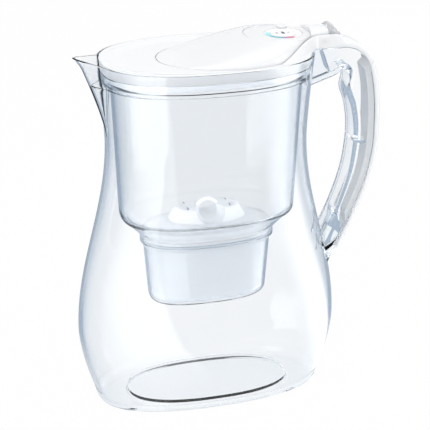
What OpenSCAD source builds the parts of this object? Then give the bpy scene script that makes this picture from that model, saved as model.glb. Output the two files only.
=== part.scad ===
/* [Jug] */
// Height of the jug's rim above the surface it stands on
rim_z = 270; // [250:1:300]
// Half length of the jug at its rim, along X
rim_half_len = 79; // [76:0.5:84]
// Half width of the jug at its rim, along Y
rim_half_wid = 53.5; // [52:0.5:58]
// Height of the waist, the narrowest part
waist_z = 208; // [196:1:220]
// Half length of the waist
waist_half_len = 74.5; // [73:0.5:76]
// Half width of the waist
waist_half_wid = 48.5; // [47.5:0.5:51]
// Height of the belly, the widest part
belly_z = 58; // [50:1:70]
// Half length of the belly
belly_half_len = 99.5; // [94:0.5:106]
// Half width of the belly
belly_half_wid = 51.5; // [50:0.5:56]
// Half length just above the rounded foot
foot_half_len = 88.5; // [84:0.5:92]
// Half width just above the rounded foot
foot_half_wid = 43.5; // [41:0.5:47]
// Radius of the rounding where the wall meets the foot
foot_r = 9; // [6:0.5:12]
// Thickness of the jug's wall
jug_wall = 2.4; // [2:0.1:3]
// Thickness of the jug's wall above the ledge that carries the reservoir
rim_wall = 1.5; // [1.2:0.1:1.8]
// Thickness of the jug's floor
jug_floor = 3.4; // [2.6:0.1:5]
// Half length of the raised oval in the floor
punt_half_len = 63; // [54:0.5:68]
// Half width of the raised oval in the floor
punt_half_wid = 31.5; // [26:0.5:33]
// Height of the raised oval
punt_h = 3.6; // [2:0.1:6]

/* [Spout] */
// Height above the waist at which the spout's channel begins
spout_start = 6; // [0:1:16]
// How far the spout stands out of the wall at the rim
spout_reach = 14.5; // [11:0.5:18]
// How far the lip flares out beyond that at the spout's tip
spout_lip = 3.5; // [1:0.25:5]
// Half width of the spout at the rim
spout_half_wid = 17; // [13:0.5:21]
// How far the spout's tip rises above the rim
spout_rise = 5; // [2:0.5:7]

/* [Handle] */
// Half width of the handle
handle_half_wid = 12; // [11:0.5:14]
// Half width of the open channel in the handle's back
channel_half_wid = 9; // [8:0.25:9.25]
// Thickness of the wall that the fingers hold
grip_wall = 4; // [3:0.25:5]
// Thickness of the white band along the back
band_t = 4.2; // [3:0.1:5]
// Depth of the band's tongue in the channel
tongue_d = 4.6; // [3:0.1:5.5]

/* [Reservoir] */
// Depth below the rim of the ledge that carries the reservoir
ledge_drop = 17; // [14:0.5:21]
// Height of the flange wall around the reservoir's mouth
flange_h = 9; // [7:0.5:10]
// Gap between the reservoir's long sides and the jug's wall
tank_gap = 1.35; // [1.2:0.05:4]
// Gap between the reservoir's two ends and the jug's wall
tank_end_gap = 5; // [3:0.2:8]
// The same gaps at the height of the jug's waist
waist_gap = 1.5; // [1.2:0.05:4]
waist_end_gap = 4; // [3:0.2:8]
// Depth of the reservoir's lower edge below its ledge
tank_depth = 105; // [97:1:113]
// Thickness of the reservoir's wall
tank_wall = 1.8; // [1.4:0.1:2.2]
// Fall of the sloped floor from the reservoir's lower edge to the pocket's mouth
floor_fall = 11; // [8:0.5:14]
// Depth below the pocket's mouth of the seat that the cartridge's collar rests on
seat_depth = 8; // [6:0.5:10]
// Depth of the pocket's underside below that seat
pocket_depth = 50; // [43:1:55]

/* [Cartridge] */
// Half length of the cartridge's cap
cap_half_len = 47.5; // [44:0.5:50]
// Half width of the cartridge's cap
cap_half_wid = 24.5; // [22:0.5:27]
// Distance from the cap's two ends to its raised crown
crown_in_len = 21.5; // [18:0.5:25]
// Distance from the cap's two sides to its raised crown
crown_in_wid = 11; // [9:0.5:13]
// Height of the raised crown above the cap's edge
crown_h = 13.5; // [12.5:0.25:15]
// Height of the finger ring above the cap's edge
loop_h = 19; // [17:0.5:20.5]
// Wall of the cartridge's body
cup_wall = 1.6; // [1.2:0.1:2]
// How far the body tapers in towards its foot
cup_taper = 3.2; // [2:0.1:4.5]

/* [Lid] */
// Depth below the rim of the flap's edge at its front end
flap_drop = 2; // [1:0.25:3]
// Height that the hump gains towards the handle
hump_rise = 16; // [14:0.5:18]
// Height that the flap's edge gains towards the handle
cheek_rise = 12; // [9:0.5:13]
// Place of the flap's front tip along X
flap_front_x = -36; // [-42:0.5:-30]
// Place of the flap's widest part along X
flap_wide_x = 28; // [20:0.5:34]
// Half width of the flap
flap_half_wid = 40.5; // [36:0.5:42]
// Half width of the flap's tail
tail_half_wid = 8.6; // [7.6:0.1:8.6]
// Thickness of the lid's shell
lid_t = 2.4; // [2:0.1:3]
// Running gap around the flap
flap_gap = 0.6; // [0.4:0.1:1]
// Distance of the flap's hinge behind the end of the jug's rim
hinge_back = 7; // [5:0.5:9]
// Height of the flap's hinge above the flap's edge at its front end
hinge_rise = 7; // [6:0.25:8]
// Radius of the hinge pin
pin_r = 1.5; // [1.2:0.1:1.8]
// Radial running clearance of the pin
pin_gap = 0.05; // [0.03:0.01:0.08]

/* [Meter] */
// Distance of the meter's centre before the flap's hinge
meter_back = 33; // [30:0.5:36]
// Half length of the oval window
window_half_len = 24; // [22:0.5:25]
// Half width of the oval window
window_half_wid = 23; // [20:0.5:24]
// Depth of the meter's face below the flap's crest
meter_drop = 3; // [2:0.25:4]
// Radius of the round dial
dial_r = 14; // [12:0.5:15]
// Travel of the meter's button
button_travel = 0.8; // [0.5:0.1:1.2]

/* [Fits] */
// Gap between pieces that only rest on each other
seat_gap = 0.3; // [0.2:0.05:0.4]
// Gap around pieces that slide past each other
slide_gap = 0.4; // [0.3:0.05:0.6]

/* [Hidden] */

// Small overlap that makes cuts run clean through
eps = 0.05;
// Points around one section of a shell
ring_n = 46;
// Squareness of the oval sections, where 2 is a true ellipse
oval_n = 2.4;
// Crowding of an oval's points towards its two tight ends, in degrees
end_crowd = 14;

// Heights that hang from the rim: the ledge, the reservoir's lower edge, the pocket and its seat
ledge_z = rim_z - ledge_drop;
tank_low_z = ledge_z - tank_depth;
pocket_z = tank_low_z - floor_fall;
seat_z = pocket_z - seat_depth;
pocket_low_z = seat_z - pocket_depth;
spout_from_z = waist_z + spout_start;
// The flap's edge and hinge, and the place and height of the meter's face
flap_edge_z = rim_z - flap_drop;
hinge_x = rim_half_len + hinge_back;
hinge_z = flap_edge_z + hinge_rise;
meter_x = hinge_x - meter_back;
meter_z = flap_edge_z + hump_rise - meter_drop;
crown_half_len = cap_half_len - crown_in_len;
crown_half_wid = cap_half_wid - crown_in_wid;

/* ---- plan curves ---- */

function sign_of(v) = v < 0 ? -1 : 1;
function smooth(t) = let (s = min(1, max(0, t))) s * s * (3 - 2 * s);
function mix(a, b, t) = a + (b - a) * t;

// A point of the oval with half axes a and b, at the angle t from +X
function oval_pt(a, b, t) = [
    a * sign_of(cos(t)) * pow(abs(cos(t)), 2 / oval_n),
    b * sign_of(sin(t)) * pow(abs(sin(t)), 2 / oval_n)
];

// Angle of the oval's point i
function crowded(i) = let (u = 360 * i / ring_n) u - end_crowd * sin(2 * u);

// An oval as a closed outline
function oval(a, b) = [for (i = [0:ring_n - 1]) oval_pt(a, b, crowded(i))];

// An oval at the height z, as one ring of a shell
function oval_ring(a, b, z) = [for (p = oval(a, b)) [p[0], p[1], z]];

/* ---- the jug's side curves ---- */

// Half size at the height z, between foot, belly, waist and rim
function side(z, foot, belly, waist, rim) =
    z < foot_r ? side(foot_r, foot, belly, waist, rim)
        - foot_r * (1 - sqrt(1 - pow((foot_r - max(z, 0)) / foot_r, 2)))
    : z < belly_z ? belly - (belly - foot) * pow((belly_z - z) / (belly_z - foot_r), 1.6)
    : z < waist_z ? mix(belly, waist, (1 - cos(180 * (z - belly_z) / (waist_z - belly_z))) / 2)
    : mix(waist, rim, pow((z - waist_z) / (rim_z - waist_z), 1.35));

function jug_len(z) = side(z, foot_half_len, belly_half_len, waist_half_len, rim_half_len);
function jug_wid(z) = side(z, foot_half_wid, belly_half_wid, waist_half_wid, rim_half_wid);

// Fall of the spout's crest from its ridge to its sides, at the side distance y
function spout_share(y, half) = pow(max(0, 1 - abs(y) / half), 1.15);
// How far the spout pushes the wall out at the height z and the side distance y
function spout_out(z, y) =
    let (k = max(0, (z - spout_from_z) / (rim_z - spout_from_z)))
    k <= 0 ? 0 : spout_reach * pow(k, 1.2) * spout_share(y, spout_half_wid * min(1, k) + 1);
// How far the rim climbs towards the spout's tip
function rim_climb(y) = spout_rise * spout_share(y, spout_half_wid + 1);

// One ring of the jug's wall, set in by d
function jug_ring(z, d) = [
    for (i = [0:ring_n - 1])
        let (t = crowded(i))
        let (p = oval_pt(jug_len(z) - d, jug_wid(z) - d, t))
        [p[0] - (cos(t) < 0 ? spout_out(z, p[1]) : 0), p[1], z]
];

// The jug's rim, set in by d, with its climb to the spout
function rim_ring(d) = [
    for (i = [0:ring_n - 1])
        let (t = crowded(i))
        let (p = oval_pt(jug_len(rim_z) - d, jug_wid(rim_z) - d, t))
        let (h = cos(t) < 0 ? rim_climb(p[1]) : 0)
        let (flare = spout_lip * spout_share(p[1], spout_half_wid + 1))
        [p[0] - (cos(t) < 0 ? spout_out(rim_z + h, p[1]) + flare : 0), p[1], rim_z + h]
];

/* ---- shells ---- */

// A closed shell through rings of equal count. The rings run counter-clockwise seen against the way they
// progress. A shell that climbs its outside and comes back down its inside makes a vessel with a wall.
module loft(rings) {
    n = len(rings[0]);
    m = len(rings);
    pts = [for (r = rings) for (p = r) p];
    sides = [
        for (i = [0:m - 2]) for (j = [0:n - 1])
            let (a = i * n + j, b = i * n + (j + 1) % n)
            each [[a, a + n, b + n], [a, b + n, b]]
    ];
    low = [for (j = [0:n - 1]) j];
    high = [for (j = [n - 1:-1:0]) (m - 1) * n + j];
    polyhedron(pts, concat([low, high], sides), convexity = 10);
}

/* ---- the jug ---- */

// Rounding between the jug's floor and its inside wall
inner_r = 4;
// Heights of the rings of the jug's outer wall below the rim, and of the inner wall below the ledge
wall_zs = concat(
    [for (k = [0.22, 0.6]) mix(foot_r, belly_z, k)],
    [for (i = [0:6]) mix(belly_z, waist_z, i / 6)],
    [for (k = [0, 0.27, 0.65]) mix(spout_from_z + 3, ledge_z + 1, k)]
);
foot_angles = [0, 22, 45, 67, 90];

// Foot of the outer wall, rounded with the radius foot_r
function foot_rings() = [for (q = foot_angles) jug_ring(foot_r * (1 - cos(q)), 0)];

function reversed(rings) = [for (i = [len(rings) - 1:-1:0]) rings[i]];

// Corner of the inside, from the floor up
function inner_corner() = [
    for (q = [0, 30, 60, 90])
        jug_ring(jug_floor + inner_r * (1 - cos(q)), jug_wall + inner_r * (1 - sin(q)))
];

// Outside of the jug: under the raised oval, out over the foot and up to the rim
function outside_rings() = concat(
    [oval_ring(punt_half_len - 2, punt_half_wid - 2, punt_h),
        oval_ring(punt_half_len - 0.5, punt_half_wid - 0.5, punt_h - 0.6),
        oval_ring(punt_half_len, punt_half_wid, 0)],
    foot_rings(),
    [for (z = wall_zs) jug_ring(z, 0)],
    [jug_ring(ledge_z + 1, 0), jug_ring(rim_z - 5, 0), rim_ring(0)]
);

// Inside of the jug: from the top of the raised oval out over the floor, up past the ledge, and out at the rim
function inside_rings() = concat(
    [oval_ring(punt_half_len - 1, punt_half_wid - 1, jug_floor + punt_h),
        oval_ring(punt_half_len + 1, punt_half_wid + 1, jug_floor + punt_h - 0.8),
        oval_ring(punt_half_len + 2, punt_half_wid + 2, jug_floor)],
    inner_corner(),
    [for (z = wall_zs) jug_ring(z, jug_wall)],
    [jug_ring(ledge_z, jug_wall), jug_ring(ledge_z, rim_wall), jug_ring(rim_z - 5, rim_wall),
        rim_ring(rim_wall), [for (q = rim_ring(rim_wall)) [q[0], q[1], q[2] + 12]]]
);

/* ---- the handle's side curves ---- */

wall_x = rim_half_len;
// How far the handle's back stands out beyond the jug's rim
back_reach = 48.8;
// Side that the fingers hold, from the rim down to the foot of the handle, as [distance behind the rim's end,
// depth below the rim]. Both ends reach through the jug's wall, where the jug's inside trims them.
grip_points = [[-6, 29], [14, 23], [22, 19], [27, 20.5], [28, 26.5], [26.6, 36], [30.5, 48],
    [33, 64], [32.6, 80], [29.6, 100], [22.5, 122.5], [14.5, 141.5], [5, 162]];
// Back of the clear part at the same stations
back_points = [[-6, 0.7], [14, 0.7], [25.5, 1], [34.5, 4.5], [42, 13], [46, 27], [48.2, 44],
    [back_reach, 63], [48, 82], [43.7, 103.5], [35, 127], [25.5, 148.5], [14.5, 170]];
function from_rim(points) = [for (q = points) [wall_x + q[0], rim_z - q[1]]];
grip = from_rim(grip_points);
back = from_rim(back_points);
// Station where the lid's tail ends and the white band begins
seam_u = 4.2;
// Station where the band ends at the handle's foot
band_end_u = 11.45;
// Stations where the channel begins and ends
channel_u = [0.55, 11.2];
// Station of the cross rib in the channel
rib_u = 7.7;

// A smooth curve through the stations, at the station u
function along(pts, u) =
    let (i = min(len(pts) - 2, floor(u)), t = u - i)
    let (a = pts[max(0, i - 1)], b = pts[i], c = pts[i + 1], d = pts[min(len(pts) - 1, i + 2)])
    0.5 * (2 * b + (c - a) * t + (2 * a - 5 * b + 4 * c - d) * t * t
        + (3 * b - a - 3 * c + d) * t * t * t);

// Depth of the handle and the unit vector from its grip towards its back, at the station u
function depth(u) = norm(along(back, u) - along(grip, u));
function outward(u) = (along(back, u) - along(grip, u)) / depth(u);

// A section [side distance, depth outward from a side curve], placed at the station u
function placed(curve, u, section) =
    let (o = along(curve, u), w = outward(u))
    [for (q = section) [o[0] + w[0] * q[1], -q[0], o[1] + w[1] * q[1]]];

// Stations from u0 to u1
function stations(u0, u1, n) = [for (i = [0:n]) mix(u0, u1, i / n)];

// Half width of the handle at the station u: it spreads a little where it leaves the wall
function handle_w(u) = handle_half_wid + 1.5 * pow(max(0, 1 - u / 1.2), 2) + 2 * pow(max(0, (u - 11) / 1), 2);

// Section of the handle, rounded where the fingers lie and open towards its back, with its channel c deep
function handle_section(w, d, c) =
    let (r = 4, lip = w - channel_half_wid, e = 0.5)
    [
        [-(w - r), 0], [-(w - r * 0.29), r * 0.29], [-w, r],
        [-w, d - e], [-w + e, d],
        [-channel_half_wid, d], [-channel_half_wid + 0.15, d - c + 0.8], [-channel_half_wid + 1, d - c],
        [channel_half_wid - 1, d - c], [channel_half_wid - 0.15, d - c + 0.8], [channel_half_wid, d],
        [w - e, d], [w, d - e],
        [w, r], [w - r * 0.29, r * 0.29], [w - r, 0]
    ];

// Depth of the channel at the station u: it runs out at both ends and is interrupted by the cross rib
function channel_d(u) =
    let (full = depth(u) - grip_wall)
    let (ends = smooth((u - channel_u[0]) / 0.4) * smooth((channel_u[1] - u) / 0.9))
    max(1, full * ends);

handle_us = concat(stations(0, 1, 5), stations(1.25, 7.5, 22), stations(7.8, 12, 13));

module handle_frame() {
    loft([for (u = handle_us) placed(grip, u, handle_section(handle_w(u), depth(u), channel_d(u)))]);
    // cross rib in the channel
    low = 0.8;
    high = depth(rib_u) - tongue_d - 1;
    loft([
        for (u = [rib_u - 0.06, rib_u + 0.06])
            placed(grip, u, [[-channel_half_wid - 0.5, low], [-channel_half_wid - 0.5, high],
                [channel_half_wid + 0.5, high], [channel_half_wid + 0.5, low]])
    ]);
}

module jug() {
    color([0.86, 0.92, 0.96, 0.45])
        difference() {
            union() {
                loft(outside_rings());
                handle_frame();
            }
            loft(inside_rings());
        }
}

// Section of the strip over the handle's back, with a tongue of depth c under it where c is given
function band_section(w, t, c = 0) =
    let (a = channel_half_wid - slide_gap, e = 1.3, r = 3)
    concat(
        [[0, t + 0.3], [w - r, t], [w - e * 0.6, t - 0.3], [w, t - e], [w, seat_gap]],
        c > 0 ? [[a, seat_gap], [a, -c], [-a, -c], [-a, seat_gap]] : [],
        [[-w, seat_gap], [-w, t - e], [-w + e * 0.6, t - 0.3], [-w + r, t]]
    );

// Thickness of the strip at the station u
function strip_t(u) = seat_gap + band_t * mix(1, 0.75, (u - seam_u) / 7);
seam_gap_u = 0.03;

module handle_band() {
    color([0.95, 0.96, 0.98])
        loft([
            for (u = stations(seam_u + seam_gap_u, band_end_u, 24))
                let (c = min(tongue_d, min(channel_d(u), channel_d(u + 0.35)) - 1.2))
                placed(back, u, band_section(handle_half_wid, strip_t(u), max(0.2, c)))
        ]);
}

/* ---- the reservoir ---- */

tank_top_z = ledge_z + flange_h;
// Half length and half width of the tank below its flange
tank_half_len = jug_len(ledge_z) - jug_wall - tank_end_gap;
tank_half_wid = jug_wid(ledge_z) - jug_wall - tank_gap;
// Half size at the tank's lower edge, from which its straight wall passes the waist at the half size waist
waist_share = (waist_z - tank_low_z) / (ledge_z - tank_low_z);
function lower_half(top, waist) = (waist - top * waist_share) / (1 - waist_share);
tank_low_half_len = lower_half(tank_half_len, waist_half_len - jug_wall - waist_end_gap);
tank_low_half_wid = lower_half(tank_half_wid, waist_half_wid - jug_wall - waist_gap);
flange_t = 2.2;
collar_half_len = cap_half_len + 1;
collar_half_wid = cap_half_wid + 1;
cup_half_len = cap_half_len - 1.5;
cup_half_wid = cap_half_wid - 1.5;
cup_low_z = pocket_low_z + tank_wall + seat_gap;
outlet_r = 6;
outlet_pitch = 22;

function mouth_ring(z, d) = oval_ring(jug_len(z) - rim_wall - d, jug_wid(z) - rim_wall - d, z);

// The tank's wall at the height z, set in by d
function tank_ring(z, d) =
    let (t = (z - tank_low_z) / (ledge_z - tank_low_z))
    oval_ring(mix(tank_low_half_len, tank_half_len, t) - d, mix(tank_low_half_wid, tank_half_wid, t) - d, z);

// The pocket's wall around the cartridge, set out by m
function pocket_ring(m, z) =
    let (k = cup_in(z))
    oval_ring(cup_half_len - k + m, cup_half_wid - k + m, z);
function collar_ring(m, z) = oval_ring(collar_half_len + m, collar_half_wid + m, z);

module reservoir() {
    m = slide_gap + tank_wall;
    corner = 3;
    color([0.90, 0.94, 0.97, 0.45])
        difference() {
            loft(concat(
                // outside, from the pocket's floor to the top of the flange
                [pocket_ring(m - 4.5, pocket_low_z), pocket_ring(m - 1.5, pocket_low_z + 1.4),
                    pocket_ring(m, pocket_low_z + 6), pocket_ring(m, seat_z - 4),
                    collar_ring(m, seat_z - 0.5), collar_ring(m, pocket_z - 1.5),
                    tank_ring(tank_low_z - 1, corner), tank_ring(tank_low_z + 2, 0.4),
                    tank_ring(tank_low_z + 5, 0),
                    tank_ring(ledge_z, 0), mouth_ring(ledge_z, slide_gap),
                    mouth_ring(tank_top_z, slide_gap)],
                // inside, back down to the pocket's floor
                [mouth_ring(tank_top_z, m), mouth_ring(ledge_z + flange_t, m),
                    tank_ring(ledge_z + flange_t, tank_wall), tank_ring(tank_low_z + 5, tank_wall),
                    tank_ring(tank_low_z + 2.6, tank_wall + 0.4), tank_ring(tank_low_z + 0.8, tank_wall + corner),
                    collar_ring(slide_gap, pocket_z), collar_ring(slide_gap, seat_z),
                    pocket_ring(slide_gap, seat_z), pocket_ring(slide_gap, seat_z - 4),
                    pocket_ring(slide_gap, pocket_low_z + 5.4),
                    pocket_ring(slide_gap - 1.3, pocket_low_z + tank_wall + 1.2),
                    pocket_ring(slide_gap - 3.6, pocket_low_z + tank_wall)]
            ));
            // outlets in the pocket's floor
            for (x = [-outlet_pitch, 0, outlet_pitch])
                translate([x, 0, pocket_low_z - 1])
                    cylinder(r = outlet_r, h = tank_wall + 2, $fn = 48);
        }
}

/* ---- the cartridge ---- */

seal_t = 1.5;
collar_low_z = seat_z + seat_gap + seal_t;
collar_top_z = collar_low_z + 3;
cap_edge_z = collar_top_z + 7;
cap_top_z = cap_edge_z + 4;
screen_t = 0.8;
bed_low_z = cup_low_z + cup_wall + screen_t + 0.2;
bed_top_z = collar_low_z - screen_t - 0.2;

// Set-in of the body's wall at the height z
function cup_in(z) = cup_taper * min(1, max(0, (seat_z - 4 - z) / (seat_z - 4 - cup_low_z)));
function cup_ring(z, d) = oval_ring(cup_half_len - cup_in(z) - d, cup_half_wid - cup_in(z) - d, z);

module cartridge_body() {
    slot_pitch = 8;
    slot_w = 2;
    slot_len = 16;
    rim_w = 0.3;
    color([0.96, 0.97, 0.98])
        difference() {
            loft([
                // outside, up to the collar and over it
                cup_ring(cup_low_z, 4), cup_ring(cup_low_z + 1.2, 1.6), cup_ring(cup_low_z + 4, 0),
                cup_ring(seat_z - 4, 0), cup_ring(collar_low_z, 0), collar_ring(-rim_w, collar_low_z),
                collar_ring(-rim_w, collar_top_z),
                // inside, back down to the floor
                cup_ring(collar_top_z, cup_wall), cup_ring(seat_z - 4, cup_wall),
                cup_ring(cup_low_z + cup_wall + 3, cup_wall),
                cup_ring(cup_low_z + cup_wall, 4 + cup_wall)
            ]);
            // outlet slots in the floor
            for (x = [-3:3])
                translate([x * slot_pitch - slot_w / 2, -slot_len / 2, cup_low_z - 1])
                    cube([slot_w, slot_len, cup_wall + 2]);
        }
}

module cartridge_seal() {
    color([0.55, 0.60, 0.66])
        translate([0, 0, collar_low_z - seal_t])
            linear_extrude(height = seal_t)
                difference() {
                    polygon(oval(collar_half_len, collar_half_wid));
                    polygon(oval(cup_half_len + 0.2, cup_half_wid + 0.2));
                }
}

module filter_bed() {
    d = cup_wall + 0.2;
    color([0.30, 0.29, 0.28])
        loft([
            cup_ring(bed_low_z, d + 3.2),
            cup_ring(bed_low_z + 2.5, d),
            cup_ring(seat_z - 4, d),
            cup_ring(bed_top_z, d)
        ]);
}

// A flat oval screen with rows of square holes, its underside at the height z
module screen(z, a, b) {
    pitch = 5;
    hole = 3;
    reach = floor((a - 5) / pitch);
    translate([0, 0, z])
        linear_extrude(height = screen_t)
            difference() {
                polygon(oval(a, b));
                for (i = [-reach:reach])
                    let (rows = floor(max(0, b * sqrt(max(0, 1 - pow(i * pitch / a, 2))) - 3.4) / pitch))
                    for (k = [-rows:rows])
                        translate([i * pitch - hole / 2, k * pitch - hole / 2])
                            square(hole);
            }
}

module upper_screen() {
    d = cup_wall + 0.2;
    color([0.85, 0.87, 0.90])
        screen(collar_low_z - screen_t, cup_half_len - d, cup_half_wid - d);
}

module lower_screen() {
    d = cup_wall + cup_taper + 5.2;
    color([0.85, 0.87, 0.90])
        screen(cup_low_z + cup_wall, cup_half_len - d, cup_half_wid - d);
}

// Rings of the cap's dome, set in by d, from its edge to its crown
function cap_rings(d) = [
    oval_ring(cap_half_len - d, cap_half_wid - d, collar_top_z - d),
    oval_ring(cap_half_len - d, cap_half_wid - d, cap_edge_z - 1.2 - d * 0.3),
    oval_ring(cap_half_len - 0.8 - d, cap_half_wid - 0.8 - d, cap_edge_z - d * 0.4),
    oval_ring(cap_half_len - 3.5 - d, cap_half_wid - 3.5 - d, cap_edge_z + 1.4 - d * 0.8),
    oval_ring(cap_half_len - 16 - d, cap_half_wid - 11 - d, cap_top_z - d)
];
cap_t = 1.6;

// Rings of the raised crown that the ring for the finger stands in, set in by d
function crown_rings(d) = [
    oval_ring(crown_half_len + 7 - d, crown_half_wid + 6 - d, cap_edge_z + 1 - d),
    oval_ring(crown_half_len + 2.5 - d, crown_half_wid + 2.5 - d, cap_edge_z + crown_h * 0.4 - d),
    oval_ring(crown_half_len - 2 - d, crown_half_wid - 1.5 - d, cap_edge_z + crown_h - 1.8 - d),
    oval_ring(crown_half_len - 5 - d, crown_half_wid - 4 - d, cap_edge_z + crown_h - d)
];
loop_r = 9.2;
loop_hole_r = 7;
loop_half_t = 1.8;
loop_z = cap_edge_z + loop_h - loop_r;
scoop_r = 11;

// The two scoops for the fingers, before and behind the ring
module scoops(r) {
    for (s = [-1, 1])
        translate([0, s * (scoop_r + 1), cap_edge_z + scoop_r + 1])
            sphere(r = r, $fn = 48);
}

// The hole through the ring, with the radius r and the length 2 h
module loop_hole(r, h) {
    translate([0, h, loop_z])
        rotate([90, 0, 0])
            cylinder(r = r, h = 2 * h, $fn = 48);
}

module cartridge_cap() {
    vent_w = 1.4;
    vent_len = 5;
    color([0.97, 0.98, 0.99])
        difference() {
            union() {
                loft(cap_rings(0));
                loft(crown_rings(0));
                loop_hole(loop_r, loop_half_t);
            }
            // hollow under the skin, which keeps a wall round the scoops and the ring's hole
            difference() {
                union() {
                    loft(cap_rings(cap_t));
                    loft(crown_rings(cap_t));
                }
                scoops(scoop_r + cap_t);
                loop_hole(loop_hole_r + cap_t, crown_half_wid);
            }
            scoops(scoop_r);
            loop_hole(loop_hole_r, crown_half_wid);
            // vents in the crown on both sides of the ring
            for (x = [-vent_x, vent_x])
                for (y = [-vent_y, vent_y])
                    translate([x - vent_w / 2, y - vent_len / 2, cap_edge_z + crown_h - 2 * cap_t])
                        cube([vent_w, vent_len, 3 * cap_t]);
        }
}
vent_x = 16;
vent_y = 6;

/* ---- the lid and its flap ---- */

// End of the flap's tail, and place where its taper ends
flap_tail_x = hinge_x + 4;
// Length of the thumb tab behind the flap's tail
tab_len = 10.3;
flap_taper_end = hinge_x - 2;
// Place from which the flap runs at its full height
crest_x = meter_x + 1;
// Place from which the flap's edge climbs, and place where the hollow under the flap ends
cheek_x = hinge_x - 51;
hollow_end_x = hinge_x - 14;

// Half width of the flap at x
function flap_w(x) =
    x < flap_wide_x
        ? flap_half_wid * sqrt(max(0, 1 - pow((flap_wide_x - x) / (flap_wide_x - flap_front_x), 2)))
        : mix(flap_half_wid, tail_half_wid,
            smooth(pow(max(0, (x - flap_wide_x - 2) / (flap_taper_end - flap_wide_x - 2)), 1.3)));
// Height of the flap's edge, of its crest and of its underside at x
function flap_edge(x) = flap_edge_z + cheek_rise * smooth((x - cheek_x) / 42);
function flap_crest(x) = max(flap_edge(x) + 0.4,
    flap_edge_z + hump_rise * smooth((x - flap_front_x) / (crest_x - flap_front_x)));
function flap_low(x) = flap_edge(x) - lid_t - 6 * smooth((x - cheek_x - 10) / 27);

// Height of the roof of the flap's hollow, and thickness of the plate that closes it
function flap_roof(x) = flap_crest(x) - lid_t;
liner_t = 1.2;

flap_xs = concat([flap_front_x + 0.3, flap_front_x + 1.2, flap_front_x + 3, flap_front_x + 6],
    [for (i = [0:19]) mix(flap_front_x + 11, flap_tail_x, i / 19)]);

// One section of the flap at x, set in by d from all sides but the underside, which lies at low
function flap_ring(x, d, low, n = 9, square = 2.6) =
    let (w = max(0.4, flap_w(x) - d), e = flap_edge(x), c = max(flap_crest(x) - d, low + 0.3))
    let (base = min(e, c - 0.1))
    concat(
        [for (i = [0:n])
            let (t = 180 * i / n)
            [x, w * sign_of(cos(t)) * pow(abs(cos(t)), 2 / square),
                max(low + 0.2, base + (c - base) * pow(abs(sin(t)), 2 / square))]],
        [[x, -w, low], [x, w, low]]
    );

module flap_shape(d, xs = flap_xs) {
    loft([for (x = xs) flap_ring(x, d, flap_low(x))]);
}

// Plan of the flap, set out by g, with a straight tail and some extra room where its shoulders swing
swing_gap = 0.9;
function room_w(x, g) = flap_w(min(x, hinge_x - 6)) + g
    + swing_gap * smooth((x - hinge_x + 26) / 12) * (1 - smooth((x - hinge_x + 9) / 6));
function flap_plan(g, inset_front, xs) = concat(
    [for (x = xs) [x - g * inset_front * max(0, flap_wide_x - x) / (flap_wide_x - flap_front_x), room_w(x, g)]],
    reversed([for (x = xs) [x - g * inset_front * max(0, flap_wide_x - x) / (flap_wide_x - flap_front_x),
        -room_w(x, g)]])
);

// Room that the flap and its running gap take out of the lid
module flap_room() {
    top = flap_edge_z + 2.5 * hump_rise;
    intersection() {
        translate([0, 0, flap_edge_z - 2 * lid_t])
            linear_extrude(height = 2.5 * hump_rise)
                polygon(flap_plan(flap_gap, 1, flap_xs));
        translate([0, rim_half_wid, 0])
            rotate([90, 0, 0])
                linear_extrude(height = 2 * rim_half_wid)
                    polygon(concat(
                        [[flap_tail_x + 1, top], [flap_front_x - 2, top], [flap_front_x - 2, flap_low(0) - seat_gap]],
                        [for (x = stations(cheek_x, hinge_x - 12, 12)) [x, flap_low(x) - seat_gap]],
                        [[flap_tail_x + 1, flap_low(flap_tail_x) - seat_gap]]
                    ));
    }
}

// Fill opening inside the rebate that the flap rests on
fill_end_x = hinge_x - 24;
rebate_w = 4;
module fill_opening() {
    xs = [for (i = [0:16]) mix(flap_front_x + 1, fill_end_x, i / 16)];
    translate([0, 0, flap_edge_z - hump_rise])
        linear_extrude(height = 2.5 * hump_rise)
            polygon(flap_plan(-rebate_w, 1, xs));
}

lid_low_z = tank_top_z + seat_gap;
plate_low_z = flap_edge_z - lid_t - 1.4;
// Half length and half width of the lid at the rim
lid_half_len = jug_len(rim_z) - rim_wall - slide_gap;
lid_half_wid = jug_wid(rim_z) - rim_wall - slide_gap;
skirt_in = slide_gap + tank_wall + slide_gap;
skirt_t = 1.8;
skirt_low_z = ledge_z + flange_t + 2;
cheek_t = 1.9;

// The lid's dished plate with its skirt, as one shell from the underside outwards and over the top
module lid_plate() {
    loft([
        oval_ring(lid_half_len - 24, lid_half_wid - 14, plate_low_z),
        mouth_ring(plate_low_z, skirt_in + skirt_t),
        mouth_ring(skirt_low_z, skirt_in + skirt_t + 0.4),
        mouth_ring(skirt_low_z, skirt_in + 0.4),
        mouth_ring(lid_low_z, skirt_in),
        mouth_ring(lid_low_z, slide_gap),
        mouth_ring(rim_z - 0.6, slide_gap),
        oval_ring(lid_half_len - 0.8, lid_half_wid - 0.8, rim_z + 0.1),
        oval_ring(lid_half_len - 5, lid_half_wid - 4, rim_z - 0.3),
        oval_ring(lid_half_len - 14, lid_half_wid - 9, flap_edge_z + 0.4),
        oval_ring(lid_half_len - 24, lid_half_wid - 14, flap_edge_z)
    ]);
}

// Half width of the lid's outline at x
function lid_w(x) = lid_half_wid * pow(max(0, 1 - pow(abs(x) / lid_half_len, oval_n)), 1 / oval_n);

// Place along X from which the saddle stands over the jug's rim
over_rim_x = lid_half_len - 4;
saddle_end_x = hinge_x + 19;

// Half width of the saddle over the handle
saddle_w = handle_half_wid + 0.05;

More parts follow.
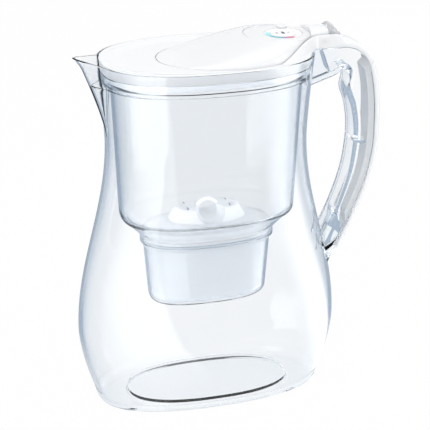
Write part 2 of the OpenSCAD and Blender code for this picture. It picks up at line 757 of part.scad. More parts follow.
// One section of the raised saddle beside the flap's tail, with slightly crowned sides
function saddle_ring(x) =
    let (over = smooth((x - over_rim_x + 3) / 3), crown = 0.08)
    let (tw = max(room_w(x, flap_gap) + cheek_t, saddle_w))
    let (tw1 = mix(tw, saddle_w, smooth((x - hinge_x) / 6)))
    let (inside = min(tw1 + 12, max(saddle_w, lid_w(min(x, over_rim_x - 1)) - 1)))
    let (bw = max(tw1, mix(inside, saddle_w, smooth((x - over_rim_x + 2) / 10))))
    let (low = mix(plate_low_z + 0.5, rim_z + seat_gap, over))
    let (skirt = max(low + 0.3, mix(flap_edge_z + 0.9, rim_z + seat_gap + 0.6, over)))
    let (crest = max(skirt + 0.3, mix(flap_edge(x), strip_top_z, smooth((x - saddle_end_x + 10) / 10))))
    let (half = [
        [tw1, crest],
        [mix(tw1, bw, 0.25) + crown, mix(crest, skirt, 0.12)],
        [mix(tw1, bw, 0.62) + 1.9 * crown, mix(crest, skirt, 0.62)],
        [bw + crown, skirt],
        [bw, low]
    ])
    concat([[x, 0, crest + 0.2]], [for (q = half) [x, -q[0], q[1]]], [for (q = reversed(half)) [x, q[0], q[1]]]);
strip_top_z = along(back, 2)[1] + seat_gap + band_t - 0.3;

module saddle() {
    before = [42, 36, 30, 25, 20, 16, 13, 10, 6, 2, -2, -6, -9, -12, -15];
    loft([for (x = concat([for (d = before) hinge_x - d], [saddle_end_x])) saddle_ring(x)]);
}

// Slot that the thumb tab swings through
tab_slot_x0 = hinge_x - 3;
tab_slot_x1 = flap_tail_x + tab_len + 1.2;
tab_slot_w = tail_half_wid + flap_gap;

// Tail of the lid over the top of the handle
module lid_tail() {
    u0 = 0.75;
    loft([
        for (u = stations(u0, seam_u, 13))
            placed(back, u, band_section(handle_half_wid - 0.1, strip_t(seam_u)))
    ]);
}

module lid_frame() {
    color([0.95, 0.96, 0.97])
        difference() {
            union() {
                lid_plate();
                saddle();
                lid_tail();
            }
            flap_room();
            fill_opening();
            translate([tab_slot_x0, -tab_slot_w, skirt_low_z])
                cube([tab_slot_x1 - tab_slot_x0, 2 * tab_slot_w, ledge_drop + 2 * hump_rise]);
            // bores for the hinge pin
            translate([hinge_x, handle_half_wid - 0.6, hinge_z])
                rotate([90, 0, 0])
                    cylinder(r = pin_r + pin_gap, h = 2 * (handle_half_wid - 0.6), $fn = 48);
        }
}

module hinge_pin() {
    color([0.80, 0.82, 0.84])
        translate([hinge_x, handle_half_wid - 0.8, hinge_z])
            rotate([90, 0, 0])
                cylinder(r = pin_r, h = 2 * (handle_half_wid - 0.8), $fn = 48);
}

module flip_lid() {
    hollow_xs = [for (x = flap_xs) if (flap_roof(x) > flap_low(x) + 0.6 && x < hollow_end_x) x];
    color([0.93, 0.94, 0.96])
        difference() {
            union() {
                difference() {
                    flap_shape(0);
                    loft([for (x = hollow_xs) flap_ring(x, lid_t, flap_low(x) - 1)]);
                }
                // seat of the meter's bezel
                intersection() {
                    flap_shape(0, [for (x = flap_xs) if (abs(x - meter_x) < window_half_len + 9) x]);
                    translate([meter_x, 0, bezel_low_z - 2])
                        linear_extrude(height = 3)
                            polygon(oval(window_half_len + 1.5, window_half_wid + 1.5));
                }
            }
            // oval recess of the bezel, and the hole for the meter's case
            translate([meter_x, 0, bezel_low_z])
                linear_extrude(height = 20)
                    polygon(oval(window_half_len, window_half_wid));
            meter_plan(case_r + seat_gap, lobe_r + seat_gap, case_low_z - 8, bezel_low_z + 1);
            // bore of the hinge
            translate([hinge_x, tail_half_wid + 1, hinge_z])
                rotate([90, 0, 0])
                    cylinder(r = pin_r + pin_gap, h = 2 * tail_half_wid + 2, $fn = 48);
        }
}

// Plate that closes the flap from below
module flip_lid_liner() {
    xs = [for (x = flap_xs) if (flap_roof(x) > flap_low(x) + liner_t + 0.4 && x < hollow_end_x - 2) x];
    color([0.90, 0.91, 0.93])
        loft([
            for (x = xs)
                let (w = flap_w(x) - lid_t - 0.3, low = flap_low(x))
                [[x, w, low], [x, w, low + liner_t], [x, -w, low + liner_t], [x, -w, low]]
        ]);
}

// Crest of the thumb tab where it leaves the flap's tail
tab_top_z = flap_edge_z + hump_rise;
function tab_ring(k) =
    let (x = flap_tail_x + tab_len * k)
    let (top = tab_top_z + 2 * sin(180 * min(1, k * 1.4)) - 4.6 * pow(k, 2.2), low = hinge_z + 1 + 1.4 * k)
    let (hw = tail_half_wid * (1 - 0.28 * pow(k, 3)), h = (top - low) / 2)
    [for (i = [0:11])
        let (t = 30 * i + 15)
        [x, hw * sign_of(cos(t)) * pow(abs(cos(t)), 0.5), low + h + h * sign_of(sin(t)) * pow(abs(sin(t)), 0.6)]];

module thumb_tab() {
    color([0.70, 0.73, 0.77, 0.8])
        loft([for (i = [0:7]) tab_ring(i / 7)]);
}

/* ---- the meter in the flap ---- */

bezel_t = 1.4;
bezel_low_z = meter_z - bezel_t;
dial_x = meter_x + 4.5;
dial_y = -1.5;
button_r = 3.9;
button_x = dial_x + 4;
button_y = dial_y + dial_r + 2;
case_r = dial_r + 1.4;
lobe_r = button_r + 1.7;
case_wall = 0.7;
case_low_z = meter_z - 8.6;
case_top_z = bezel_low_z;
cell_low_z = case_low_z + case_wall + 0.2;
board_low_z = meter_z - 4.6;
board_top_z = board_low_z + 0.8;
dome_top_z = board_top_z + 0.3;

// Round plan of the meter with a lobe under its button
module meter_plan(r, lobe, z0, z1) {
    translate([dial_x, dial_y, z0])
        cylinder(r = r, h = z1 - z0, $fn = 72);
    translate([button_x, button_y, z0])
        cylinder(r = lobe, h = z1 - z0, $fn = 48);
}

module meter_case() {
    color([0.82, 0.84, 0.86])
        difference() {
            meter_plan(case_r, lobe_r, case_low_z, case_top_z);
            meter_plan(case_r - case_wall, lobe_r - case_wall, board_low_z, case_top_z + 1);
            translate([dial_x, dial_y, case_low_z + case_wall])
                cylinder(r = case_r - 2, h = case_top_z - case_low_z, $fn = 72);
        }
}

module meter_bezel() {
    color([0.94, 0.95, 0.97])
        difference() {
            intersection() {
                translate([meter_x, 0, bezel_low_z])
                    linear_extrude(height = bezel_t)
                        polygon(oval(window_half_len - 0.2, window_half_wid - 0.2));
                flap_shape(0.2, [for (x = flap_xs) if (abs(x - meter_x) < window_half_len + 9) x]);
            }
            translate([dial_x, dial_y, bezel_low_z - 1])
                cylinder(r = dial_r, h = 5, $fn = 72);
            translate([button_x, button_y, bezel_low_z - 1])
                cylinder(r = button_r + 0.25, h = 5, $fn = 48);
        }
}

// Takes the button's well out of the pieces under the bezel
module button_well(z0, z1) {
    translate([button_x, button_y, z0])
        cylinder(r = button_r + 0.9, h = z1 - z0, $fn = 48);
}

module meter_dial() {
    color([0.80, 0.86, 0.88])
        difference() {
            union() {
                translate([dial_x, dial_y, bezel_low_z - 0.9])
                    cylinder(r = dial_r - 0.3, h = 0.7, $fn = 72);
                translate([dial_x, dial_y - 1, board_top_z])
                    cylinder(r = dial_r - 3, h = bezel_low_z - 0.5 - board_top_z, $fn = 64);
            }
            button_well(board_top_z - 1, bezel_low_z + 1);
        }
}

module meter_window() {
    window_r = dial_r - 0.15;
    crown = 1.9;
    color([0.85, 0.93, 0.97, 0.4])
        difference() {
            translate([dial_x, dial_y, bezel_low_z])
                rotate_extrude($fn = 96)
                    polygon(concat([[0, 0], [window_r, 0]],
                        [for (i = [6:-1:0]) let (k = i / 6) [window_r * k, bezel_t + (crown - bezel_t) * (1 - k * k)]]));
            button_well(bezel_low_z - 1, meter_z + 3);
        }
}

module meter_board() {
    color([0.20, 0.45, 0.30])
        meter_plan(case_r - case_wall - 0.2, lobe_r - case_wall - 0.2, board_low_z, board_top_z);
}

module meter_cell() {
    color([0.78, 0.79, 0.80])
        translate([dial_x, dial_y, cell_low_z])
            cylinder(r = 8, h = 1.6, $fn = 64);
}

module cell_clip() {
    color([0.85, 0.80, 0.60])
        translate([dial_x, dial_y, 0]) {
            translate([-11, -2, cell_low_z + 1.7])
                cube([22, 4, 0.3]);
            for (s = [-1, 1])
                translate([s * 10.6 - 0.4, -2, case_low_z + case_wall])
                    cube([0.8, 4, cell_low_z + 2 - case_low_z - case_wall]);
        }
}

module switch_dome() {
    color([0.75, 0.76, 0.78])
        translate([button_x, button_y, board_top_z])
            cylinder(r = 2.2, h = dome_top_z - board_top_z, $fn = 40);
}

module meter_button() {
    low = dome_top_z + button_travel + 0.1;
    color([0.98, 0.98, 0.99])
        translate([button_x, button_y, 0]) {
            translate([0, 0, low])
                cylinder(r = button_r + 0.6, h = 0.7, $fn = 48);
            translate([0, 0, low])
                cylinder(r = button_r, h = meter_z + 1.5 - low, $fn = 48);
        }
}

// Puts the centre of the whole outline above the origin
module centred() {
    reach = wall_x + back_reach + seat_gap + band_t * 0.9;
    translate([(belly_half_len - reach) / 2, 0, 0])
        children();
}

centred() jug();
centred() handle_band();
centred() reservoir();
centred() cartridge_body();
centred() cartridge_cap();
centred() cartridge_seal();
centred() filter_bed();
centred() upper_screen();
centred() lower_screen();
centred() lid_frame();
centred() hinge_pin();
centred() flip_lid();
centred() flip_lid_liner();
centred() thumb_tab();
centred() meter_case();
centred() meter_bezel();
centred() meter_dial();
centred() meter_window();
centred() meter_board();
centred() meter_cell();
centred() cell_clip();
centred() switch_dome();
centred() meter_button();
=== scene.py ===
"""Looks of a clear water filter pitcher with a flip lid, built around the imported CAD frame.

Every sub-assembly is a class that holds its sizes in millimetres, in the jug's own axes: X runs from the
spout (-X) to the handle (+X), Y across, Z up. The mesh builder turns them into metres and into the
frame's axes.
"""
import logging
import math
from collections.abc import Iterator, Sequence
from contextlib import contextmanager
from dataclasses import dataclass, field
from enum import Enum

import bmesh
import bpy
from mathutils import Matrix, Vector


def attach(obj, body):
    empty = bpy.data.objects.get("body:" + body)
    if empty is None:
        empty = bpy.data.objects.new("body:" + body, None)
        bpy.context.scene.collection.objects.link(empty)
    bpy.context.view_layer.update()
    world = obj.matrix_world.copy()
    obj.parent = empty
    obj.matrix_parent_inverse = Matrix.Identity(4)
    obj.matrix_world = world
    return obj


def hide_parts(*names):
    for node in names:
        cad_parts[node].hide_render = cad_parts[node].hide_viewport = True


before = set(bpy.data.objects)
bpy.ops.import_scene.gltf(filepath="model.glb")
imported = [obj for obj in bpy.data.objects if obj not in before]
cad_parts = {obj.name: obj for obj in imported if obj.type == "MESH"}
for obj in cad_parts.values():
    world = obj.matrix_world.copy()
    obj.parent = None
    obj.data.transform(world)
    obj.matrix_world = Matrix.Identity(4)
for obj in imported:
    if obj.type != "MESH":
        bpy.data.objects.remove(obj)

LOG = logging.getLogger("pitcher")
MM = 0.001
SHIFT_X = -16.19  # from the jug's middle to the frame's middle
RING = 184  # points around an oval
OVAL_POWER = 2.4  # 2 is a plain ellipse, more is squarer
OVAL_CROWD = 14.0  # degrees by which an oval's points crowd towards its tight ends
ON_AXIS = 0.01  # radius of a turned profile's two ends
WHITE = (1.0, 1.0, 1.0)

Point = tuple[float, float, float]
Colour = tuple[float, float, float]
Flat = tuple[float, float]
Ring = list[Point]
Socket = bpy.types.NodeSocket


class Body(str, Enum):
    """CAD bodies that the pieces ride on."""

    PITCHER = "pitcher"
    RESERVOIR = "reservoir"
    CARTRIDGE = "cartridge"
    LID = "lid"
    FLAP = "flap"
    BUTTON = "button"


# ---------------------------------------------------------------- curves


def bent(value: float, power: float) -> float:
    """Returns the value's size raised to the power, with the value's own sign."""
    return math.copysign(abs(value) ** power, value)


def smooth(t: float) -> float:
    """Returns the smooth step of t between 0 and 1."""
    s = min(1.0, max(0.0, t))
    return s * s * (3 - 2 * s)


def mix(a: float, b: float, t: float) -> float:
    """Returns the value the share t of the way from a to b."""
    return a + (b - a) * t


def steps(a: float, b: float, n: int) -> list[float]:
    """Returns n + 1 evenly spaced values from a to b."""
    return [mix(a, b, i / n) for i in range(n + 1)]


def arc(cx: float, cz: float, r: float, start: float, end: float, n: int = 6) -> list[Flat]:
    """Returns the points of an arc.

    Args:
        cx: First coordinate of the centre.
        cz: Second coordinate of the centre.
        r: Radius.
        start: Angle of the first point in degrees.
        end: Angle of the last point in degrees.
        n: Number of steps.

    Returns:
        The points, both ends included.
    """
    angles = [math.radians(q) for q in steps(start, end, n)]
    return [(cx + r * math.cos(q), cz + r * math.sin(q)) for q in angles]


def rounding(r: float, start: float, end: float, n: int) -> list[Flat]:
    """Returns how far rings rise and are set in over a rounded corner.

    Args:
        r: Radius of the corner.
        start: Angle of the first ring in degrees, 0 at the corner's flat end and 90 at its upright one.
        end: Angle of the last ring in degrees.
        n: Number of steps.

    Returns:
        The pairs [rise, inset].
    """
    angles = [math.radians(q) for q in steps(start, end, n)]
    return [(r * (1 - math.cos(q)), r * (1 - math.sin(q))) for q in angles]


def oval_angles() -> list[float]:
    """Returns the angles of an oval's points in radians, crowded towards its two tight ends."""
    turns = [2 * math.pi * i / RING for i in range(RING)]
    return [u - math.radians(OVAL_CROWD) * math.sin(2 * u) for u in turns]


OVAL_ANGLES = oval_angles()


def oval_pt(a: float, b: float, t: float) -> Flat:
    """Returns the point of the squarish oval with half axes a and b at the angle t."""
    return a * bent(math.cos(t), 2 / OVAL_POWER), b * bent(math.sin(t), 2 / OVAL_POWER)


def oval_ring(a: float, b: float, z: float) -> Ring:
    """Returns the oval with half axes a and b at the height z."""
    return [(*oval_pt(a, b, t), z) for t in OVAL_ANGLES]


def along(pts: Sequence[Flat], u: float) -> Flat:
    """Returns the point of the smooth curve through pts at the station u."""
    i = min(len(pts) - 2, int(math.floor(u)))
    t = u - i
    quad = (pts[max(0, i - 1)], pts[i], pts[i + 1], pts[min(len(pts) - 1, i + 2)])
    x, y = (0.5 * (2 * b + (c - a) * t + (2 * a - 5 * b + 4 * c - d) * t * t
                   + (3 * b - a - 3 * c + d) * t ** 3) for a, b, c, d in zip(*quad))
    return x, y


def place(p: Point) -> Point:
    """Returns a point given in millimetres in metres and in the frame's axes."""
    return (p[0] + SHIFT_X) * MM, p[1] * MM, p[2] * MM


def stand(name: str, data: bpy.types.ID) -> bpy.types.Object:
    """Adds an object with this data to the scene and returns it."""
    obj = bpy.data.objects.new(name, data)
    bpy.context.scene.collection.objects.link(obj)
    return obj


# ---------------------------------------------------------------- finishes


class Nodes:
    """Short ways of building the node tree of a material or a world."""

    def __init__(self, owner: bpy.types.Material | bpy.types.World, kind: str = "Material") -> None:
        """Empties the owner's tree and adds its output of that kind."""
        owner.use_nodes = True
        self.tree = owner.node_tree
        self.tree.nodes.clear()
        self.out = self.new(f"Output{kind}")

    def feed(self, slot: Socket, value: object) -> None:
        """Gives an input a value: an output that is linked to it, a number, or a colour's three numbers."""
        if isinstance(value, Socket):
            self.tree.links.new(value, slot)
        elif slot.type == "RGBA":
            slot.default_value = (*value, 1.0)
        else:
            slot.default_value = value

    def fill(self, node: bpy.types.Node, **values: object) -> None:
        """Sets a node's properties and inputs by name, with _ for a space."""
        for key, value in values.items():
            if hasattr(node, key):
                setattr(node, key, value)
            else:
                self.feed(node.inputs[key.replace("_", " ")], value)

    def new(self, kind: str, *inputs: object, **values: object) -> bpy.types.Node:
        """Adds a shader node.

        Args:
            kind: Its type, without ShaderNode.
            inputs: What its first inputs get, in order.
            values: What its properties and other inputs get.

        Returns:
            The node.
        """
        node = self.tree.nodes.new(f"ShaderNode{kind}")
        self.fill(node, **values)
        for slot, value in zip(node.inputs, inputs):
            self.feed(slot, value)
        return node

    def axes(self, centre: Point | None = None) -> Sequence[Socket]:
        """Returns the three Object coordinates in metres, counted from a point in millimetres."""
        return self.new("SeparateXYZ", self.coords(centre)).outputs

    def coords(self, centre: Point | None = None) -> Socket:
        """Returns the Object coordinates in metres, counted from a point in millimetres."""
        source = self.new("TexCoord").outputs["Object"]
        if centre is None:
            return source
        return self.new("VectorMath", source, place(centre), operation="SUBTRACT").outputs[0]

    def noise(self, scale: float, detail: float = 3.0, rough: float = 0.5,
              stretch: Point = (1.0, 1.0, 1.0)) -> Socket:
        """Returns a noise between 0 and 1 over the Object coordinates, scale in cycles a metre."""
        mapped = self.new("Mapping", self.coords(), Scale=stretch).outputs[0]
        return self.new("TexNoise", mapped, Scale=scale, Detail=detail, Roughness=rough).outputs["Fac"]

    def ramp(self, value: Socket, stops: Sequence[tuple[float, Colour]]) -> Socket:
        """Returns the colour of a ramp with these stops at the value."""
        node = self.new("ValToRGB", value)
        elements = node.color_ramp.elements
        while len(elements) < len(stops):
            elements.new(0.5)
        for element, (at, colour) in zip(elements, stops):
            element.position = at
            element.color = (*colour, 1.0)
        return node.outputs[0]

    def span(self, value: Socket, low: float, high: float) -> Socket:
        """Returns the value between 0 and 1 turned into the range from low to high."""
        return self.new("MapRange", value, To_Min=low, To_Max=high).outputs[0]

    def maths(self, how: str, *values: object) -> Socket:
        """Returns the result of a Math node over outputs and numbers."""
        return self.new("Math", *values, operation=how).outputs[0]

    def length(self, x: Socket, y: Socket) -> Socket:
        """Returns the length of the flat vector [x, y]."""
        squares = (self.maths("MULTIPLY", axis, axis) for axis in (x, y))
        return self.maths("SQRT", self.maths("ADD", *squares))

    def blend(self, share: Socket, a: Socket | Colour, b: Socket | Colour) -> Socket:
        """Returns the mix of two colours by the share."""
        node = self.new("Mix", share, data_type="RGBA")
        self.feed(node.inputs[6], a)
        self.feed(node.inputs[7], b)
        return node.outputs[2]

    def mottled(self, patches: Socket, colour: Colour, shade: float) -> Socket:
        """Returns the colour with patches of its darker or paler shade."""
        return self.blend(patches, colour, tuple(c * shade for c in colour))


class Paint(Nodes):
    """A material's node tree around one Principled shader."""

    def __init__(self, name: str) -> None:
        """Starts a material of that name."""
        self.mat = bpy.data.materials.new(name)
        super().__init__(self.mat)
        self.shader = self.new("BsdfPrincipled")
        self.fill(self.out, Surface=self.shader.outputs[0])

    def set(self, **values: object) -> None:
        """Sets the shader's inputs by name, with _ for a space."""
        self.fill(self.shader, **values)

    def bump(self, height: Socket, distance: float, strength: float = 1.0) -> None:
        """Gives the shader a bump of that height in metres."""
        node = self.new("Bump", Height=height, Distance=distance, Strength=strength)
        self.set(Normal=node.outputs[0])


@dataclass(frozen=True)
class Finish:
    """A finish of the pitcher: its name in the record, its colour and how matt it is."""

    slot: str
    colour: Colour
    roughness: float
    label: str = field(default="", kw_only=True)

    def material(self) -> bpy.types.Material:
        """Returns the finish's material, built on its first use."""
        name = f"{self.slot}_{self.label or type(self).__name__.lower()}"
        if name not in bpy.data.materials:
            self.build(Paint(name))
        return bpy.data.materials[name]

    def build(self, n: Paint) -> None:
        """Fills the node tree of the started material n. Each kind of finish has its own way."""
        raise NotImplementedError


@dataclass(frozen=True)
class ClearPlastic(Finish):
    """Clear moulded plastic with a cool cast in its depth, faint flow waves and hairline wear.

    Where the wall is seen at a slant it takes the slant shade colour, a painted shade for the dark bands
    along the wall's edges,
    less so on the handle: the painted shade fades by fade_rate a metre along X, from where fade_rate * x +
    fade_start is 0, up to fade_most.
    """

    ior: float
    depth_colour: Colour = (0.80, 0.88, 0.94)
    density: float = 22.0
    wave: float = 0.00004
    slant_shade_colour: Colour = (0.77, 0.815, 0.86)
    slant_shade_power: float = 1.3
    fade_rate: float = 60.0
    fade_start: float = -4.7
    fade_most: float = 0.8

    def build(self, n: Paint) -> None:
        """Fills the node tree: a transmitting shader over a thin absorbing volume."""
        slant = n.maths("POWER", n.new("LayerWeight", Blend=0.5).outputs["Facing"], self.slant_shade_power)
        fade = n.maths("MULTIPLY_ADD", n.axes()[0], self.fade_rate, self.fade_start)
        fade = n.maths("MINIMUM", n.maths("MAXIMUM", fade, 0.0), self.fade_most)
        wear = n.noise(900, 2, 0.6, (1.0, 1.0, 0.18))
        # painted shade: the base colour darkens towards the slant shade colour where the wall is seen at a
        # slant, and fades towards white on the handle
        n.set(IOR=self.ior, Transmission_Weight=1.0,
              Base_Color=n.blend(fade, n.blend(slant, self.colour, self.slant_shade_colour), WHITE),
              Roughness=n.span(wear, self.roughness * 0.5, self.roughness * 1.5))
        n.bump(n.noise(38, 2, 0.4, (1.0, 1.0, 0.45)), self.wave, 0.6)
        depth = n.new("VolumeAbsorption", Color=self.depth_colour, Density=self.density)
        n.fill(n.out, Volume=depth.outputs[0])


@dataclass(frozen=True)
class WhitePlastic(Finish):
    """Opaque white moulded plastic with a soft depth, faint cool mottling and a fine moulded skin."""

    cool: Colour = (0.975, 0.985, 1.0)
    depth: float = 0.25
    scatter: Point = (0.0035, 0.0038, 0.0042)
    grain: float = 0.00002
    grain_scale: float = 2600.0

    def build(self, n: Paint) -> None:
        """Fills the node tree: subsurface white with mottled colour, uneven gloss and fine bump."""
        cool = tuple(c * k for c, k in zip(self.colour, self.cool))
        n.set(Base_Color=n.blend(n.noise(26, 3, 0.55), self.colour, cool),
              Roughness=n.span(n.noise(180, 4, 0.6), self.roughness * 0.85, self.roughness * 1.2),
              Subsurface_Weight=self.depth, Subsurface_Radius=self.scatter, Subsurface_Scale=1.0,
              Specular_IOR_Level=0.5, Coat_Weight=0.15, Coat_Roughness=0.12)
        n.bump(n.noise(self.grain_scale, 2, 0.5), self.grain, 0.5)


@dataclass(frozen=True)
class FrostedPlastic(Finish):
    """Translucent grey plastic, part clear and part milky."""

    scatter: Point = (0.004, 0.0045, 0.005)

    def build(self, n: Paint) -> None:
        """Fills the node tree: a rough transmitting shader with a milky body."""
        n.set(Base_Color=n.mottled(n.noise(60), self.colour, 0.9), Roughness=self.roughness,
              Transmission_Weight=0.45, IOR=1.49,
              Subsurface_Weight=0.35, Subsurface_Radius=self.scatter, Subsurface_Scale=1.0)
        n.bump(n.noise(1500, 2), 0.00002, 0.5)


@dataclass(frozen=True)
class Rubber(Finish):
    """Soft grey seal rubber with a dusty, dimpled skin."""

    def build(self, n: Paint) -> None:
        """Fills the node tree: matt rubber with dust and dimples."""
        n.set(Base_Color=n.mottled(n.noise(300, 5, 0.65), self.colour, 1.3), Roughness=self.roughness,
              Sheen_Weight=0.2)
        n.bump(n.noise(2200), 0.00006)


@dataclass(frozen=True)
class Granules(Finish):
    """A bed of dark carbon grains among pale resin beads."""

    grain_size: float = 0.0009
    beads: tuple[Colour, Colour] = ((0.62, 0.45, 0.22), (0.80, 0.66, 0.42))

    def build(self, n: Paint) -> None:
        """Fills the node tree: cells with a random shade each, and a bump that rounds them."""
        cells = n.new("TexVoronoi", n.coords(), Scale=1 / self.grain_size)
        shade = n.new("SeparateColor", cells.outputs["Color"]).outputs[0]
        stops = [(0.0, self.colour), (0.55, tuple(c * 1.8 for c in self.colour)),
                 (0.7, self.beads[0]), (1.0, self.beads[1])]
        n.set(Base_Color=n.ramp(shade, stops), Roughness=self.roughness)
        n.bump(n.maths("SUBTRACT", 1.0, cells.outputs["Distance"]), self.grain_size * 0.4)


@dataclass(frozen=True)
class Metal(Finish):
    """Thin pressed metal with a brushed grain."""

    def build(self, n: Paint) -> None:
        """Fills the node tree: metal with streaked colour and roughness."""
        streaks = n.noise(3000, 3, 0.6, (1.0, 0.06, 1.0))
        n.set(Base_Color=n.mottled(streaks, self.colour, 0.86), Metallic=1.0,
              Roughness=n.span(streaks, self.roughness * 0.8, self.roughness * 1.5))
        n.bump(streaks, 0.00001)


@dataclass(frozen=True)
class CircuitBoard(Finish):
    """Green board with a pattern of copper tracks under its lacquer."""

    track: Colour = (0.35, 0.48, 0.22)

    def build(self, n: Paint) -> None:
        """Fills the node tree: brick-shaped tracks under a coat."""
        bricks = n.new("TexBrick", n.coords(), self.colour, tuple(c * 0.8 for c in self.colour), self.track,
                       Scale=260.0)
        n.set(Base_Color=bricks.outputs["Color"], Roughness=self.roughness, Coat_Weight=0.6,
              Coat_Roughness=0.1)
        n.bump(bricks.outputs["Fac"], 0.00003)


@dataclass(frozen=True)
class DialPrint(Finish):
    """White dial face with a band that runs from cyan over violet to red around its lower edge."""

    centre: Point = (57.5, -1.5, 280.0)
    band_in: float = 10.4
    band_out: float = 13.0
    band_ends: Flat = (0.15, 0.57)
    hues: tuple[tuple[float, Colour], ...] = (
        (0.16, (0.45, 0.84, 0.88)), (0.24, (0.10, 0.70, 0.78)), (0.42, (0.10, 0.64, 0.80)),
        (0.465, (0.34, 0.38, 0.80)), (0.50, (0.88, 0.14, 0.38)), (0.57, (0.90, 0.08, 0.16)))

    def build(self, n: Paint) -> None:
        """Fills the node tree: the band's colour by the angle around the dial's centre."""
        x, y, _ = n.axes(self.centre)
        # share of a turn, from the far side clockwise past the spout's side and the near side
        turn = n.maths("ARCTAN2", n.maths("MULTIPLY", x, -1.0), y)
        share = n.maths("FRACT", n.maths("DIVIDE", turn, 2 * math.pi))
        band = n.maths("MULTIPLY", self.within(n, n.length(x, y), self.band_in * MM, self.band_out * MM),
                       self.within(n, share, *self.band_ends))
        paper = n.mottled(n.noise(400), self.colour, 0.97)
        n.set(Base_Color=n.blend(band, paper, n.ramp(share, self.hues)), Roughness=self.roughness)
        n.bump(n.noise(5000, 2), 0.000004)

    @staticmethod
    def within(n: Nodes, value: Socket, low: float, high: float) -> Socket:
        """Returns 1 where the value lies between low and high, and 0 elsewhere."""
        return n.maths("MULTIPLY", n.maths("GREATER_THAN", value, low), n.maths("LESS_THAN", value, high))


@dataclass(frozen=True)
class Ink(Finish):
    """Dark printing ink, slightly raised and uneven."""

    def build(self, n: Paint) -> None:
        """Fills the node tree: near-black ink with a thinner shade here and there."""
        n.set(Base_Color=n.mottled(n.noise(2500), self.colour, 1.6), Roughness=self.roughness)
        n.bump(n.noise(6000, 2), 0.000004)


# the jug and the tank take the default painted shade at a slant; the lens takes none
CLEAR_BODY = ClearPlastic("clear_body", (0.978, 0.983, 0.990), 0.015, ior=1.30)
CLEAR_TANK = ClearPlastic("clear_tank", (0.972, 0.978, 0.984), 0.05, ior=1.25,
                          depth_colour=(0.82, 0.87, 0.90), density=14.0)
CLEAR_LENS = ClearPlastic("meter_lens", WHITE, 0.01, ior=1.12, depth_colour=(0.9, 0.95, 1.0), density=1.0,
                          wave=0.0, slant_shade_colour=WHITE)
WHITE_GLOSS = WhitePlastic("white_gloss", (0.90, 0.91, 0.925), 0.22)
WHITE_SATIN = WhitePlastic("white_satin", (0.88, 0.89, 0.91), 0.38)
# paler than the lid's white: partly the cap's own white, partly painted light for the cap, which the lid
# shades from above
CAP_LIT_WHITE = WhitePlastic("cartridge_white", (0.97, 0.972, 0.975), 0.36)
# the cartridge's white darkened: painted shade for the cup, which sits in the pocket behind the clear walls
CUP_SHADED_WHITE = WhitePlastic("cartridge_white", (0.76, 0.775, 0.795), 0.42, label="cup")
SCREEN_PLASTIC = WhitePlastic("screen_plastic", (0.80, 0.83, 0.86), 0.45)
PIN_PLASTIC = WhitePlastic("pin_plastic", (0.74, 0.76, 0.78), 0.32)
METER_SHELL = WhitePlastic("meter_shell", (0.80, 0.82, 0.84), 0.35)
TAB_GREY = FrostedPlastic("tab_grey", (0.82, 0.84, 0.87), 0.28)
SEAL_GREY = Rubber("seal_grey", (0.46, 0.50, 0.55), 0.75)
FILTER_GRANULES = Granules("filter_granules", (0.035, 0.034, 0.033), 0.6)
METER_FACE = DialPrint("meter_face", (0.96, 0.97, 0.98), 0.25)
METER_INK = Ink("meter_face", (0.012, 0.018, 0.035), 0.4)
BOARD_GREEN = CircuitBoard("board_green", (0.06, 0.24, 0.12), 0.35)
CELL_STEEL = Metal("cell_steel", (0.72, 0.73, 0.74), 0.25)
CLIP_BRASS = Metal("clip_brass", (0.78, 0.62, 0.34), 0.28)


# ---------------------------------------------------------------- meshes


def dress(obj: bpy.types.Object, finish: Finish, body: Body, *nodes: str) -> None:
    """Gives a finished piece its material and says what it stands for.

    Args:
        obj: The piece.
        finish: Its finish.
        body: CAD body that it rides on.
        nodes: CAD nodes that it replaces.
    """
    obj.data.materials.clear()
    obj.data.materials.append(finish.material())
    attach(obj, body.value)
    if nodes:
        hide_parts(*nodes)
    LOG.info("%s rides on %s with %d faces", obj.name, body.value, len(obj.data.polygons))


def redress(node: str, finish: Finish) -> None:
    """Gives a CAD node that stays a finish of its own."""
    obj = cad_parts[node]
    obj.data.materials.clear()
    obj.data.materials.append(finish.material())
    LOG.info("%s keeps its CAD shape, finish %s", node, finish.slot)


@contextmanager
def edited(mesh: bpy.types.Mesh) -> Iterator[bmesh.types.BMesh]:
    """Opens a mesh for editing and writes it back."""
    bm = bmesh.new()
    bm.from_mesh(mesh)
    yield bm
    bm.to_mesh(mesh)
    bm.free()


def plain(obj: bpy.types.Object) -> bpy.types.Object:
    """Puts the evaluated mesh in place of an object's modifiers and returns the object."""
    bpy.context.view_layer.update()
    graph = bpy.context.evaluated_depsgraph_get()
    old, obj.data = obj.data, bpy.data.meshes.new_from_object(obj.evaluated_get(graph))
    obj.data.name = obj.name
    obj.modifiers.clear()
    bpy.data.meshes.remove(old)
    return obj


